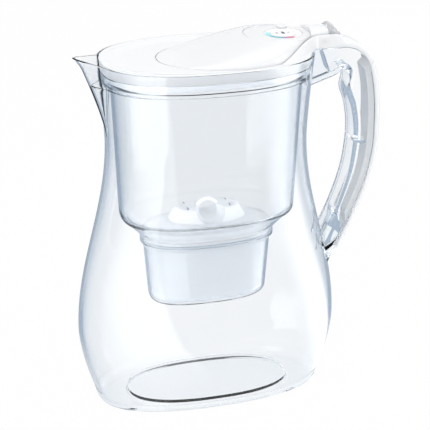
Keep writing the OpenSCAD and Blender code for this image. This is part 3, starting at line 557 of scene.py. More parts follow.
class Solid:
    """A closed mesh in metres, made from points in millimetres."""

    def __init__(self, name: str, verts: Sequence[Point], faces: Sequence[Sequence[int]]) -> None:
        """Makes the object from its points and faces, with its normals pointing outwards."""
        mesh = bpy.data.meshes.new(name)
        mesh.from_pydata([place(p) for p in verts], [], faces)
        mesh.validate()
        with edited(mesh) as bm:
            bmesh.ops.remove_doubles(bm, verts=bm.verts, dist=1e-7)
            bmesh.ops.recalc_face_normals(bm, faces=bm.faces)
        self.obj = stand(name, mesh)

    @classmethod
    def loft(cls, name: str, rings: Sequence[Ring]) -> "Solid":
        """Returns the solid through rings of equal count, with a fan of faces at each end."""
        n = len(rings[0])
        verts = [p for ring in rings for p in ring]
        around = [(j, (j + 1) % n) for j in range(n)]
        ends = (0, len(verts) - n)
        faces = [[i + j, i + k, i + n + k, i + n + j] for i in range(0, ends[1], n) for j, k in around]
        for start in ends:
            verts.append(tuple(sum(c) / n for c in zip(*verts[start:start + n])))
            faces += [[start + j, start + k, len(verts) - 1] for j, k in around]
        return cls(name, verts, faces)

    @classmethod
    def prism(cls, name: str, outline: Sequence[Flat], low: float, high: float, axis: str = "z") -> "Solid":
        """Returns the outline drawn out from low to high along the axis z or y."""
        verts = [(a, b, h) if axis == "z" else (a, h, b) for h in (low, high) for a, b in outline]
        n = len(outline)
        faces: list[list[int]] = [[j, (j + 1) % n, n + (j + 1) % n, n + j] for j in range(n)]
        return cls(name, verts, faces + [list(range(n)), list(range(n, 2 * n))])

    @classmethod
    def turned(cls, name: str, profile: Sequence[Flat], centre: Point, axis: str = "z",
               n: int = 96) -> "Solid":
        """Makes a solid of revolution.

        Args:
            name: Name of the object.
            profile: Points [radius, height], from the axis round to the axis.
            centre: Point that the heights count from.
            axis: Axis that it is turned about, z or y.
            n: Points around.

        Returns:
            The new solid.
        """
        cx, cy, cz = centre
        turns = [(math.cos(q), math.sin(q)) for q in (2 * math.pi * j / n for j in range(n))]
        if axis == "z":
            return cls.loft(name, [[(cx + r * c, cy + r * s, cz + h) for c, s in turns] for r, h in profile])
        return cls.loft(name, [[(cx + r * c, cy + h, cz + r * s) for c, s in turns] for r, h in profile])

    @classmethod
    def rod(cls, name: str, r: float, low: float, high: float, centre: Point, axis: str = "z",
            n: int = 96) -> "Solid":
        """Returns the round rod of radius r that reaches from low to high about the centre."""
        return cls.turned(name, [(r, low), (r, high)], centre, axis, n)

    def combine(self, how: str, tools: Sequence["Solid"]) -> "Solid":
        """Applies the tools to this solid one after the other, uses them up, and returns this solid."""
        for tool in tools:
            mod = self.obj.modifiers.new("cut", "BOOLEAN")
            mod.operation = how
            mod.solver = "MANIFOLD"
            mod.object = tool.obj
            plain(self.obj)
            bpy.data.meshes.remove(tool.obj.data)  # the object goes with it
        return self

    def join(self, *tools: "Solid") -> "Solid":
        """Joins the tools to this solid."""
        return self.combine("UNION", tools)

    def take_out(self, *tools: "Solid") -> "Solid":
        """Cuts the tools out of this solid."""
        return self.combine("DIFFERENCE", tools)

    def keep_common(self, tool: "Solid") -> "Solid":
        """Keeps what this solid and the tool share."""
        return self.combine("INTERSECT", [tool])

    def finish(self, finish: Finish, body: Body, *nodes: str, angle: float = 32.0) -> None:
        """Smooths the shading and dresses the piece.

        Args:
            finish: Its finish.
            body: CAD body that it rides on.
            nodes: CAD nodes that it replaces.
            angle: Edges sharper than this, in degrees, stay sharp.
        """
        with edited(self.obj.data) as bm:
            bmesh.ops.remove_doubles(bm, verts=bm.verts, dist=2e-6)
            bmesh.ops.dissolve_degenerate(bm, edges=bm.edges, dist=1e-6)
            for face in bm.faces:
                face.smooth = True
            limit = math.radians(angle)
            for edge in bm.edges:
                edge.smooth = not (len(edge.link_faces) == 2 and edge.calc_face_angle(0) > limit)
        dress(self.obj, finish, body, *nodes)


# ---------------------------------------------------------------- the jug


@dataclass
class JugForm:
    """Side curves and wall of the jug, shared by all that stands in it or on it."""

    rim_z: float = 270.0
    rim: Flat = (79.0, 53.5)
    waist_z: float = 208.0
    waist: Flat = (74.5, 48.5)
    belly_z: float = 58.0
    belly: Flat = (99.5, 51.5)
    foot: Flat = (88.5, 43.5)
    foot_r: float = 9.0
    foot_power: float = 1.6
    rim_power: float = 1.35
    wall: float = 2.4
    rim_wall: float = 1.5
    rim_blend: float = 12.0
    floor: float = 3.4
    floor_r: float = 6.0
    punt: Flat = (63.0, 31.5)
    punt_h: float = 3.6
    ledge_z: float = 253.0
    spout_from_z: float = 214.0
    spout_reach: float = 14.5
    spout_lip: float = 3.5
    spout_half_wid: float = 17.0
    spout_rise: float = 5.0
    ridge_r: float = 2.4

    def side(self, z: float, k: int) -> float:
        """Returns the half size at the height z, along X for k = 0 and along Y for k = 1."""
        foot, belly, waist, rim = self.foot[k], self.belly[k], self.waist[k], self.rim[k]
        if z < self.foot_r:
            drop = self.foot_r * (1 - math.sqrt(1 - ((self.foot_r - max(z, 0)) / self.foot_r) ** 2))
            return self.side(self.foot_r, k) - drop
        if z < self.belly_z:
            k = (self.belly_z - z) / (self.belly_z - self.foot_r)
            return belly - (belly - foot) * k ** self.foot_power
        if z < self.waist_z:
            turn = math.pi * (z - self.belly_z) / (self.waist_z - self.belly_z)
            return mix(belly, waist, (1 - math.cos(turn)) / 2)
        return mix(waist, rim, ((z - self.waist_z) / (self.rim_z - self.waist_z)) ** self.rim_power)

    def share(self, y: float, half: float) -> float:
        """Returns the spout's height over its rounded ridge at the side distance y."""
        return max(0.0, 1 - (math.hypot(y, self.ridge_r) - self.ridge_r / 2) / half) ** 1.15

    def spout_out(self, z: float, y: float) -> float:
        """Returns how far the spout pushes the wall out at the height z and side distance y."""
        k = max(0.0, (z - self.spout_from_z) / (self.rim_z - self.spout_from_z))
        if k <= 0:
            return 0.0
        return self.spout_reach * k ** 1.2 * self.share(y, self.spout_half_wid * min(1.0, k) + 1)

    def ring(self, z: float, d: float) -> Ring:
        """Returns one ring of the wall at the height z, set in by d."""
        out = []
        for t in OVAL_ANGLES:
            x, y = oval_pt(self.side(z, 0) - d, self.side(z, 1) - d, t)
            out.append((x - (self.spout_out(z, y) if math.cos(t) < 0 else 0.0), y, z))
        return out

    def rim_ring(self, d: float, drop: float, share: float = 1.0) -> Ring:
        """Returns a ring near the rim.

        Args:
            d: How far it is set in.
            drop: How far it lies below the rim's edge.
            share: How much of the spout's climb and flare it takes, from 0 to 1.

        Returns:
            The ring.
        """
        out = []
        z0 = self.rim_z - (1 - share) * 5
        for t in OVAL_ANGLES:
            x, y = oval_pt(self.side(z0, 0) - d, self.side(z0, 1) - d, t)
            near = math.cos(t) < 0
            s = self.share(y, self.spout_half_wid + 1)
            z = z0 + (self.spout_rise * s * share if near else 0.0)
            flare = self.spout_lip * s * share ** 1.6
            out.append((x - (self.spout_out(z, y) + flare if near else 0.0), y, z - drop))
        return out

    def to_rim(self, d: float) -> list[Ring]:
        """Returns the rings that climb into the spout's shape just under the rim, set in by d."""
        return [self.rim_ring(d, 0, share) for share in steps(0, 0.86, 6)[1:]]

    def mouth(self, z: float, d: float) -> Ring:
        """Returns the oval inside the rim's wall at the height z, set in by d."""
        return oval_ring(self.side(z, 0) - self.rim_wall - d, self.side(z, 1) - self.rim_wall - d, z)


@dataclass
class Jug:
    """The clear jug with its spout and its clear, open-backed handle, and the band on the handle."""

    form: JugForm
    half_wid: float = 12.0
    channel_half_wid: float = 9.0
    grip_wall: float = 4.0
    band_t: float = 4.2
    tongue_d: float = 4.6
    seat_gap: float = 0.3
    slide_gap: float = 0.4
    back_reach: float = 48.8
    seam_u: float = 4.2
    band_end_u: float = 11.45
    channel_u: Flat = (0.55, 11.2)
    rib_u: float = 7.7
    root_d: float = 0.8

    def __post_init__(self) -> None:
        """Lays the handle's two side curves against the jug's wall."""
        w = self.form.rim[0]
        grip = [(-6, 241), (14, 247), (22, 251), (27, 249.5), (28, 243.5), (26.6, 234), (30.5, 222),
                (33, 206), (32.6, 190), (29.6, 170), (22.5, 147.5), (14.5, 128.5), (5, 108)]
        back = [(-6, 269.3), (14, 269.3), (25.5, 269), (34.5, 265.5), (42, 257), (46, 243), (48.2, 226),
                (self.back_reach, 207), (48, 188), (43.7, 166.5), (35, 143), (25.5, 121.5), (14.5, 100)]
        self.grip, self.back = ([(w + x, z) for x, z in curve] for curve in (grip, back))

    def depth(self, u: float) -> float:
        """Returns the handle's depth at the station u."""
        (gx, gz), (bx, bz) = along(self.grip, u), along(self.back, u)
        return math.hypot(bx - gx, bz - gz)

    def placed(self, curve: Sequence[Flat], u: float, section: Sequence[Flat]) -> Ring:
        """Returns a section [side, depth outward] set on a side curve at the station u."""
        ox, oz = along(curve, u)
        (gx, gz), (bx, bz) = along(self.grip, u), along(self.back, u)
        d = self.depth(u)
        wx, wz = (bx - gx) / d, (bz - gz) / d
        return [(ox + wx * out, -side, oz + wz * out) for side, out in section]

    def channel(self, u: float) -> float:
        """Returns the depth of the channel in the handle's back at the station u."""
        ends = smooth((u - self.channel_u[0]) / 0.4) * smooth((self.channel_u[1] - u) / 0.9)
        return max(1.0, (self.depth(u) - self.grip_wall) * ends)

    def section(self, u: float) -> list[Flat]:
        """Returns the handle's section at the station u, rounded where the fingers lie."""
        w = self.half_wid + 1.5 * max(0.0, 1 - u / 1.2) ** 2 + 2 * max(0.0, u - 11) ** 2
        d, c = self.depth(u), self.channel(u)
        k, r, e = self.channel_half_wid, 4.0, 0.7
        f = min(2.0, c * 0.4)
        left = arc(-(w - r), r, r, 270, 180, 8) + arc(-(w - e), d - e, e, 180, 90, 4)
        left += [(-k - 0.35, d), (-k - 0.1, d - 0.1), (-k, d - 0.35)]
        left += arc(-k + f + 0.1, d - c + f, f, 180, 270, 6)
        return left + [(-x, z) for x, z in reversed(left)]

    def strip_t(self, u: float) -> float:
        """Returns the thickness of the strip over the handle's back at the station u."""
        return self.seat_gap + self.band_t * mix(1, 0.75, (u - self.seam_u) / 7)

    def strip(self, w: float, t: float, c: float = 0.0) -> list[Flat]:
        """Returns the section of the strip.

        Args:
            w: Half width.
            t: Height of its back.
            c: Depth of the tongue under it, 0 for none.

        Returns:
            The section, counter-clockwise from its crown.
        """
        a, e, s = self.channel_half_wid - self.slide_gap, 1.9, self.seat_gap
        right = [(0.0, t + 0.25), (w * 0.3, t + 0.22), (w * 0.6, t + 0.12)]
        right += arc(w - e, t - e, e, 88, 0, 7) + arc(w - 0.4, s + 0.4, 0.4, 0, -90, 3)
        right += [(a, s), (a, -c + 0.5), (a - 0.5, -c)] if c > 0 else [(a, s), (a - 0.3, s), (a - 0.6, s)]
        return right + [(-x, z) for x, z in reversed(right[1:])]

    def shell_rings(self) -> list[Ring]:
        """Returns the rings of the jug's outside, from the raised oval's underside to the rim's inside."""
        f = self.form
        a, b = f.punt
        under = arc(-2.0, f.punt_h - 2.0, 2.0, 90, 0) + arc(1.4, 1.4, 1.4, 180, 270)
        rings = [oval_ring(a + d, b + d, z) for d, z in under]
        rings += [f.ring(z, 0) for z, _ in rounding(f.foot_r, 0, 90, 14)]
        rings += [f.ring(z, 0) for z in steps(f.foot_r, f.ledge_z + f.rim_blend, 90)[1:]]
        return rings + f.to_rim(0) + [f.rim_ring(d, drop) for d, drop in rounding(f.rim_wall / 2, 0, 180, 8)]

    def hollow_rings(self) -> list[Ring]:
        """Returns the rings of the jug's inside, from the floor to the rim."""
        f = self.form
        a, b = f.punt
        floor = arc(-1.4, f.floor + f.punt_h - 2.0, 2.0, 90, 0) + arc(2.8, f.floor + 1.6, 2.2, 180, 270)[1:]
        rings = [oval_ring(a + d, b + d, z - (0.6 if d > 0.6 else 0.0)) for d, z in floor]
        rings += [f.ring(f.floor + z, f.wall + d) for z, d in rounding(f.floor_r, 0, 90, 10)]
        rings += [f.ring(z, f.wall) for z in steps(f.floor + f.floor_r, f.ledge_z - 0.1, 90)[1:]]
        rings += [f.ring(f.ledge_z, f.wall - 0.1), f.ring(f.ledge_z, f.rim_wall + 0.1)]
        rings += [f.ring(z, f.rim_wall) for z in steps(f.ledge_z + 0.1, f.ledge_z + f.rim_blend, 5)]
        return rings + f.to_rim(f.rim_wall)

    def build(self) -> None:
        """Builds the clear jug with its handle, and the white band."""
        wall = Solid.loft("jug_wall", self.shell_rings() + self.hollow_rings()[::-1])
        grip = Solid.loft("jug_grip", [self.placed(self.grip, u, self.section(u)) for u in steps(0, 12, 220)])
        wall.join(grip.join(self.cross_rib()).take_out(self.plug()))
        wall.finish(CLEAR_BODY, Body.PITCHER, "jug")
        self.band().finish(WHITE_GLOSS, Body.PITCHER, "handle_band")

    def plug(self) -> Solid:
        """Returns the plug that keeps the handle's root inside the wall."""
        f, d = self.form, self.root_d
        rings = [f.ring(z, d) for z in steps(70, f.ledge_z + f.rim_blend, 80)] + f.to_rim(d)
        return Solid.loft("jug_plug", rings + [[(x, y, z + 12) for x, y, z in f.rim_ring(d, 0)]])

    def cross_rib(self) -> Solid:
        """Returns the rib that stiffens the handle's channel."""
        k, low = self.channel_half_wid + 0.5, 0.8
        rings = []
        for u, top in ((-0.07, 1.3), (-0.05, 1.0), (0.05, 1.0), (0.07, 1.3)):
            high = self.depth(self.rib_u) - self.tongue_d - top
            rings.append(self.placed(self.grip, self.rib_u + u, [(-k, low), (-k, high), (k, high), (k, low)]))
        return Solid.loft("jug_rib", rings)

    def band(self) -> Solid:
        """Returns the white band along the handle's back, its two ends rounded."""
        rings = []
        for k in (0.0, 0.15, 0.45, *steps(1, 99, 130), 99.55, 99.85, 100.0):
            u = mix(self.seam_u + 0.03, self.band_end_u, k / 100)
            edge = 0.45 * max(0.0, 1 - min(k, 100 - k)) ** 2
            tongue = max(0.2, min(self.tongue_d, min(self.channel(u), self.channel(u + 0.35)) - 1.2))
            section = self.strip(self.half_wid - edge, self.strip_t(u) - edge, tongue)
            rings.append(self.placed(self.back, u, section))
        return Solid.loft("band_strip", rings)


# ---------------------------------------------------------------- the reservoir


@dataclass
class Reservoir:
    """The clear tank that hangs in the jug, with its flange and the pocket for the cartridge."""

    form: JugForm
    flange_h: float = 9.0
    flange_t: float = 2.2
    tank: Flat = (70.02, 47.99)
    tank_low: Flat = (65.54, 40.07)
    tank_low_z: float = 148.0
    wall: float = 1.8
    pocket_z: float = 137.0
    pocket_low_z: float = 79.0
    pocket_r: float = 7.0
    pocket_in_r: float = 5.6
    cap: Flat = (47.5, 24.5)
    seat_z: float = 129.0
    cup_taper: float = 3.2
    gap: float = 0.4
    outlet_r: float = 6.0
    outlet_pitch: float = 22.0

    @property
    def cup_low_z(self) -> float:
        """Underside of the cartridge's cup."""
        return self.pocket_low_z + self.wall + 0.3

    def cup(self, z: float, d: float) -> Ring:
        """Returns the cartridge cup's tapering oval at the height z, set in by d."""
        top = self.seat_z - 4
        k = self.cup_taper * min(1.0, max(0.0, (top - z) / (top - self.cup_low_z))) + d + 1.5
        return oval_ring(self.cap[0] - k, self.cap[1] - k, z)

    def collar(self, z: float, m: float) -> Ring:
        """Returns the collar's oval at the height z, set out by m."""
        return oval_ring(self.cap[0] + 1 + m, self.cap[1] + 1 + m, z)

    def side(self, z: float, d: float) -> Ring:
        """Returns the tank's oval at the height z, set in by d."""
        t = (z - self.tank_low_z) / (self.form.ledge_z - self.tank_low_z)
        a, b = (mix(low, top, t) - d for low, top in zip(self.tank_low, self.tank))
        return oval_ring(a, b, z)

    def outer(self) -> list[Ring]:
        """Returns the rings of the outside, from the pocket's floor up to the flange's edge."""
        f, low, r = self.form, self.pocket_low_z, self.pocket_r
        gap, m, seat, tank = self.gap, self.gap + self.wall, self.seat_z, self.tank_low_z
        rings = [self.cup(low + z, d - m) for z, d in rounding(r, 0, 90, 10)]
        rings += [self.cup(z, -m) for z in steps(low + r, seat - 3.4, 24)[1:]]
        rings += [self.cup(seat - 2.8, -m - 0.2)]
        rings += [self.collar(seat - z, m - d) for z, d in ((1.0, 0.5), (0.2, 0.0))]
        rings += [self.collar(z, m) for z in steps(seat + 0.4, self.pocket_z - 2.4, 5)]
        # sloped floor, from the collar out to the tank's wall
        rings += self.slope(self.collar(self.pocket_z - 1.2, m + 0.6), self.side(tank - 1.0, 3.6))
        rings += [self.side(tank + z, d) for d, z in ((2.2, -0.4), (1.1, 0.7), (0.4, 2.2), (0.0, 4.6))]
        rings += [self.side(z, 0) for z in steps(tank + 8, f.ledge_z - 0.6, 40)]
        rings += [self.side(f.ledge_z, 0.0), f.mouth(f.ledge_z, gap + 0.3), f.mouth(f.ledge_z + 0.3, gap)]
        return rings + [f.mouth(z, gap) for z in steps(f.ledge_z + 0.6, f.ledge_z + self.flange_h - 0.4, 6)]

    def inner(self) -> list[Ring]:
        """Returns the rings of the inside, from the flange's edge down to the pocket's floor."""
        f, t, tank, seat = self.form, self.wall, self.tank_low_z, self.seat_z
        gap, m, r, low = self.gap, self.gap + t, self.pocket_in_r, self.pocket_low_z + t
        top, flange = f.ledge_z + self.flange_h, f.ledge_z + self.flange_t
        rings = [f.mouth(top, gap + 0.4), f.mouth(top, m - 0.4)]
        rings += [f.mouth(z, m) for z in steps(top - 0.4, flange + 0.6, 6)]
        rings += [f.mouth(flange, m + 0.6), self.side(flange, t - 0.5)]
        rings += [self.side(z, t) for z in steps(flange - 0.6, tank + 7, 40)]
        rings += [self.side(tank + z, t + d) for d, z in ((0.2, 4.6), (0.9, 2.9), (2.0, 1.8), (3.2, 1.0))]
        rings += self.slope(self.side(tank + 0.8, t + 3.8), self.collar(self.pocket_z + 0.3, gap + 0.6))
        rings += [self.collar(z, gap) for z in steps(self.pocket_z - 0.4, seat + 0.3, 5)]
        rings += [self.collar(seat, gap - 0.3), self.cup(seat, -gap - 0.3)]
        rings += [self.cup(z, -gap) for z in steps(seat - 0.4, low + r, 24)]
        return rings + [self.cup(low + z, d - gap) for z, d in rounding(r, 90, 0, 10)[1:]]

    @staticmethod
    def slope(start: Ring, end: Ring, n: int = 8) -> list[Ring]:
        """Returns rings that blend evenly from start to end, both included."""
        pairs = list(zip(start, end))
        return [[tuple(mix(a, b, k) for a, b in zip(p, q)) for p, q in pairs] for k in steps(0, 1, n)]

    def build(self) -> None:
        """Builds the tank and drills its three outlets."""
        tank = Solid.loft("tank_shell", self.outer() + self.inner())
        for k in (-1, 0, 1):
            centre = (k * self.outlet_pitch, 0.0, self.pocket_low_z)
            tank.take_out(Solid.rod("drill", self.outlet_r, -2.0, self.wall + 2.0, centre))
        tank.finish(CLEAR_TANK, Body.RESERVOIR, "reservoir")


# ---------------------------------------------------------------- the cartridge


@dataclass
class Cartridge:
    """The white filter cartridge: its cup, its humped cap with the finger ring, and its vents."""

    tank: Reservoir
    cup_wall: float = 1.6
    cup_r: float = 5.2
    collar_h: float = 3.0
    seal_t: float = 1.5
    skin: float = 1.6
    crown: Flat = (26.0, 13.5)
    crown_h: float = 13.5
    ring_r: float = 9.2
    ring_hole_r: float = 7.0
    ring_half_t: float = 1.8
    ring_edge: float = 0.6
    loop_h: float = 19.0
    scoop_r: float = 11.0
    vent: Flat = (1.4, 5.0)
    vent_at: Flat = (16.0, 6.0)

    @property
    def collar_low_z(self) -> float:
        """Underside of the collar."""
        return self.tank.seat_z + 0.3 + self.seal_t

    @property
    def edge_z(self) -> float:
        """Height at which the cap's dome begins."""
        return self.collar_low_z + 10.0

    def build(self) -> None:
        """Builds the cup and the cap."""
        t, w, collar = self.tank, self.cup_wall, self.collar_low_z
        low, top = t.cup_low_z, collar + self.collar_h
        rings = [t.cup(low + z, d) for z, d in rounding(self.cup_r, 0, 90, 10)]
        rings += [t.cup(z, 0) for z in steps(low + 6, collar - 0.2, 24)]
        edge = ((collar, 1.0), (collar + 0.3, 0.35), (top - 0.3, 0.35), (top, 0.7))
        rings += [t.collar(z, -d) for z, d in edge]
        rings += [t.cup(z, w) for z in (top, *steps(collar, low + w + 4, 10))] + [t.cup(low + w, w + 4)]
        Solid.loft("cartridge_cup", rings).finish(CUP_SHADED_WHITE, Body.CARTRIDGE, "cartridge_body")
        self.build_cap(top)

    def dome(self, d: float, low: float) -> list[Ring]:
        """Returns the rings of the cap's dome, set in by d, from its lower edge at low to its middle."""
        (a, b), z = self.tank.cap, self.edge_z
        rings = [oval_ring(a - d - 0.15, b - d - 0.15, low), oval_ring(a - d, b - d, low + 0.2)]
        rings += [oval_ring(a - d - x, b - d - x, h - d * 0.5) for x, h in arc(1.6, z - 1.4, 1.6, 180, 90, 8)]
        for k in steps(0.06, 1, 14):
            dx, dy = mix(1.6, 16.0, k), mix(1.6, 11.0, k)
            rings.append(oval_ring(a - dx - d, b - dy - d, z + 0.2 + 3.8 * math.sin(math.pi / 2 * k) - d))
        return rings

    def crown_rings(self, d: float) -> list[Ring]:
        """Returns the rings of the raised crown, set in by d, with a soft flare and a rounded shoulder."""
        (a, b), z, h = self.crown, self.edge_z, self.crown_h
        plan = [(8.5, 7.5), (4.6, 4.2), (2.4, 2.4), (0.6, 0.8), (-1.2, -0.8), (-2.8, -2.2), (-5.5, -4.6)]
        rise = [(up, 0.0) for up in (1.0, 2.4, 5.0, 8.2, h - 2.3, h - 0.7, h)]
        rings = []
        for u in steps(0, len(plan) - 1, 42):
            (dx, dy), up = along(plan, u), along(rise, u)[0]
            rings.append(oval_ring(a + dx - d, b + dy - d, z + up - d))
        return rings

    def scoops(self, grow: float) -> list[Solid]:
        """Returns the two round scoops and the ring's hole, grown by a wall."""
        r, z, hole_r, half = self.scoop_r, self.edge_z, self.ring_hole_r + grow, self.crown[1] + 3
        ball = [(max(ON_AXIS, (r + grow) * math.cos(q)), (r + grow) * math.sin(q))
                for q in steps(-math.pi / 2, math.pi / 2, 40)]
        tools = [Solid.turned("scoop", ball, (0.0, side * (r + 1), z + r + 1)) for side in (-1, 1)]
        centre = (0.0, 0.0, z + self.loop_h - self.ring_r)
        return tools + [Solid.rod("hole", hole_r, -half, half, centre, "y", 120)]

    def build_cap(self, low: float) -> None:
        """Builds the cap: its dome, its raised crown, and the finger ring between two scoops.

        Args:
            low: Height of the cap's lower edge.
        """
        r, t, e = self.ring_r, self.ring_half_t, self.ring_edge
        band = arc(r - e, -t + e, e, 270, 360, 5) + arc(r - e, t - e, e, 0, 90, 5)
        band = [(ON_AXIS, -t), *band, (ON_AXIS, t)]
        ring = Solid.turned("ring", band, (0.0, 0.0, self.edge_z + self.loop_h - r), "y", 120)
        hollow = Solid.loft("hollow", self.dome(self.skin, low - 1.0))
        hollow.join(Solid.loft("crown", self.crown_rings(self.skin))).take_out(*self.scoops(self.skin))
        cap = Solid.loft("cartridge_cap_skin", self.dome(0.0, low))
        cap.join(Solid.loft("crown", self.crown_rings(0.0)), ring)
        cap.take_out(hollow, *self.scoops(0.0), *self.vents())
        cap.finish(CAP_LIT_WHITE, Body.CARTRIDGE, "cartridge_cap", angle=40)

    def vents(self) -> list[Solid]:
        """Returns the cutters of two vents with round ends on each side of the ring."""
        w, half = self.vent[0] / 2, (self.vent[1] - self.vent[0]) / 2
        high = self.edge_z + self.crown_h
        tools = []
        for x in (-self.vent_at[0], self.vent_at[0]):
            for y in (-self.vent_at[1], self.vent_at[1]):
                outline = [(x + a, y + half + b) for a, b in arc(0, 0, w, 0, 180, 8)]
                outline += [(x + a, y - half + b) for a, b in arc(0, 0, w, 180, 360, 8)]
                tools.append(Solid.prism("vent", outline, high - 5.2, high + 2))
        return tools


@dataclass
class Repeater:
    """Repeats one small block at given places with a Geometry Nodes tree."""

    name: str
    places: Sequence[Point]
    size: Point
    finish: Finish
    turns: Sequence[float] = ()

    def build(self) -> bpy.types.Object:
        """Repeats the block, turned about Z by the turns in radians, or not turned where there are none.

        Returns:
            One plain mesh that holds all the blocks.
        """
        mesh = bpy.data.meshes.new(self.name)
        mesh.from_pydata([place(p) for p in self.places], [], [])
        turn = mesh.attributes.new("turn", "FLOAT", "POINT")
        turn.data.foreach_set("value", self.turns or [0.0] * len(self.places))
        obj = stand(self.name, mesh)
        tree = bpy.data.node_groups.new(self.name, "GeometryNodeTree")
        keys = {}
        for label, way, kind in (("Geometry", "INPUT", "Geometry"), ("Block size", "INPUT", "Vector"),
                                 ("Finish", "INPUT", "Material"), ("Geometry", "OUTPUT", "Geometry")):
            socket = tree.interface.new_socket(label, in_out=way, socket_type=f"NodeSocket{kind}")
            keys[label] = socket.identifier
        start, end, cube, put, real, coat, read, join = (tree.nodes.new(kind) for kind in (
            "NodeGroupInput", "NodeGroupOutput", "GeometryNodeMeshCube", "GeometryNodeInstanceOnPoints",
            "GeometryNodeRealizeInstances", "GeometryNodeSetMaterial", "GeometryNodeInputNamedAttribute",
            "ShaderNodeCombineXYZ"))
        read.data_type = "FLOAT"
        read.inputs["Name"].default_value = "turn"
        for a, out, b, slot in (
                (start, "Geometry", put, "Points"), (start, "Block size", cube, "Size"),
                (cube, "Mesh", put, "Instance"), (read, "Attribute", join, "Z"), (join, 0, put, "Rotation"),
                (put, 0, real, 0), (real, 0, coat, "Geometry"), (start, "Finish", coat, "Material"),
                (coat, 0, end, 0)):
            tree.links.new(a.outputs[out], b.inputs[slot])
        mod = obj.modifiers.new("repeat", "NODES")
        mod.node_group = tree
        mod[keys["Block size"]] = tuple(c * MM for c in self.size)
        mod[keys["Finish"]] = self.finish.material()
        return plain(obj)


# ---------------------------------------------------------------- the lid


@dataclass
class FlapForm:
    """Curves of the flap, which the lid's room for it follows."""

    edge_z: float = 268.0
    hump_rise: float = 16.0
    cheek_rise: float = 12.0
    front_x: float = -36.0
    front_len: float = 11.0
    wide_x: float = 28.0
    half_wid: float = 40.5
    tail_half_wid: float = 8.6
    top_power: float = 2.6
    lid_t: float = 2.4
    gap: float = 0.6
    hinge: Flat = (86.0, 275.0)
    bore_r: float = 1.55
    crest_x: float = 54.0
    swing_gap: float = 0.9
    tab_len: float = 10.3

    @property
    def tail_x(self) -> float:
        """End of the flap's tail."""
        return self.hinge[0] + 4

    def width(self, x: float) -> float:
        """Returns the flap's half width at x."""
        if x < self.wide_x:
            k = (self.wide_x - x) / (self.wide_x - self.front_x)
            return self.half_wid * math.sqrt(max(0.0, 1 - k ** 2))
        k = max(0.0, (x - self.wide_x - 2) / (self.hinge[0] - 2 - self.wide_x - 2))
        return mix(self.half_wid, self.tail_half_wid, smooth(k ** 1.3))

    def edge(self, x: float) -> float:
        """Returns the height of the flap's edge at x."""
        return self.edge_z + self.cheek_rise * smooth((x - 35) / 42)

    def crest(self, x: float) -> float:
        """Returns the height of the flap's crest at x."""
        k = (x - self.front_x) / (self.crest_x - self.front_x)
        return max(self.edge(x) + 0.4, self.edge_z + self.hump_rise * smooth(k))

    def low(self, x: float) -> float:
        """Returns the height of the flap's underside at x."""
        return self.edge(x) - self.lid_t - 6 * smooth((x - 45) / 27)

    def section(self, x: float, d: float, low: float, n: int = 48) -> Ring:
        """Returns one section of the flap at x.

        Args:
            x: Place along X.
            d: How far it is set in from all sides but the underside.
            low: Height of its underside.
            n: Steps over its top.

        Returns:
            The section.
        """
        w, power = max(0.4, self.width(x) - d), 2 / self.top_power
        c = max(self.crest(x) - d, low + 0.3)
        base = min(self.edge(x), c - 0.1)
        top = []
        for t in steps(0, math.pi, n):
            z = base + (c - base) * abs(math.sin(t)) ** power
            top.append((x, w * bent(math.cos(t), power), max(low + 0.2, z)))
        return top + [(x, -w, low + 0.1), (x, -w + 0.1, low), (x, w - 0.1, low), (x, w, low + 0.1)]

    def stations(self) -> list[float]:
        """Returns the places of the flap's sections, close together at its round front."""
        near = [self.front_x + self.front_len * k * k for k in steps(0.04, 1, 22)]
        return near + steps(self.front_x + self.front_len, self.tail_x, 130)[1:]

    def block(self, name: str, middle: float, reach: float, d: float, lift: float = 0.0) -> Solid:
        """Returns the stretch of the flap about an x, set in by d, its underside lifted."""
        near = [x for x in self.stations() if abs(x - middle) < reach]
        return Solid.loft(name, [self.section(x, d, self.low(x) + lift) for x in near])

    def bore(self, half: float) -> Solid:
        """Returns the hinge pin's bore, which reaches half its length to each side."""
        return Solid.rod("bore", self.bore_r, -half, half, (self.hinge[0], 0, self.hinge[1]), "y", 48)

    def room_w(self, x: float, g: float) -> float:
        """Returns the half width of the room that the flap swings in, set out by g."""
        extra = self.swing_gap * smooth((x - 60) / 12) * (1 - smooth((x - self.hinge[0] + 9) / 6))
        return self.width(min(x, self.hinge[0] - 6)) + g + extra

    def plan(self, g: float, xs: Sequence[float]) -> list[Flat]:
        """Returns the flap's plan, set out by g, over the stations xs."""
        length = self.wide_x - self.front_x
        up = [(x - g * max(0.0, self.wide_x - x) / length, self.room_w(x, g)) for x in xs]
        return up + [(x, -w) for x, w in reversed(up)]


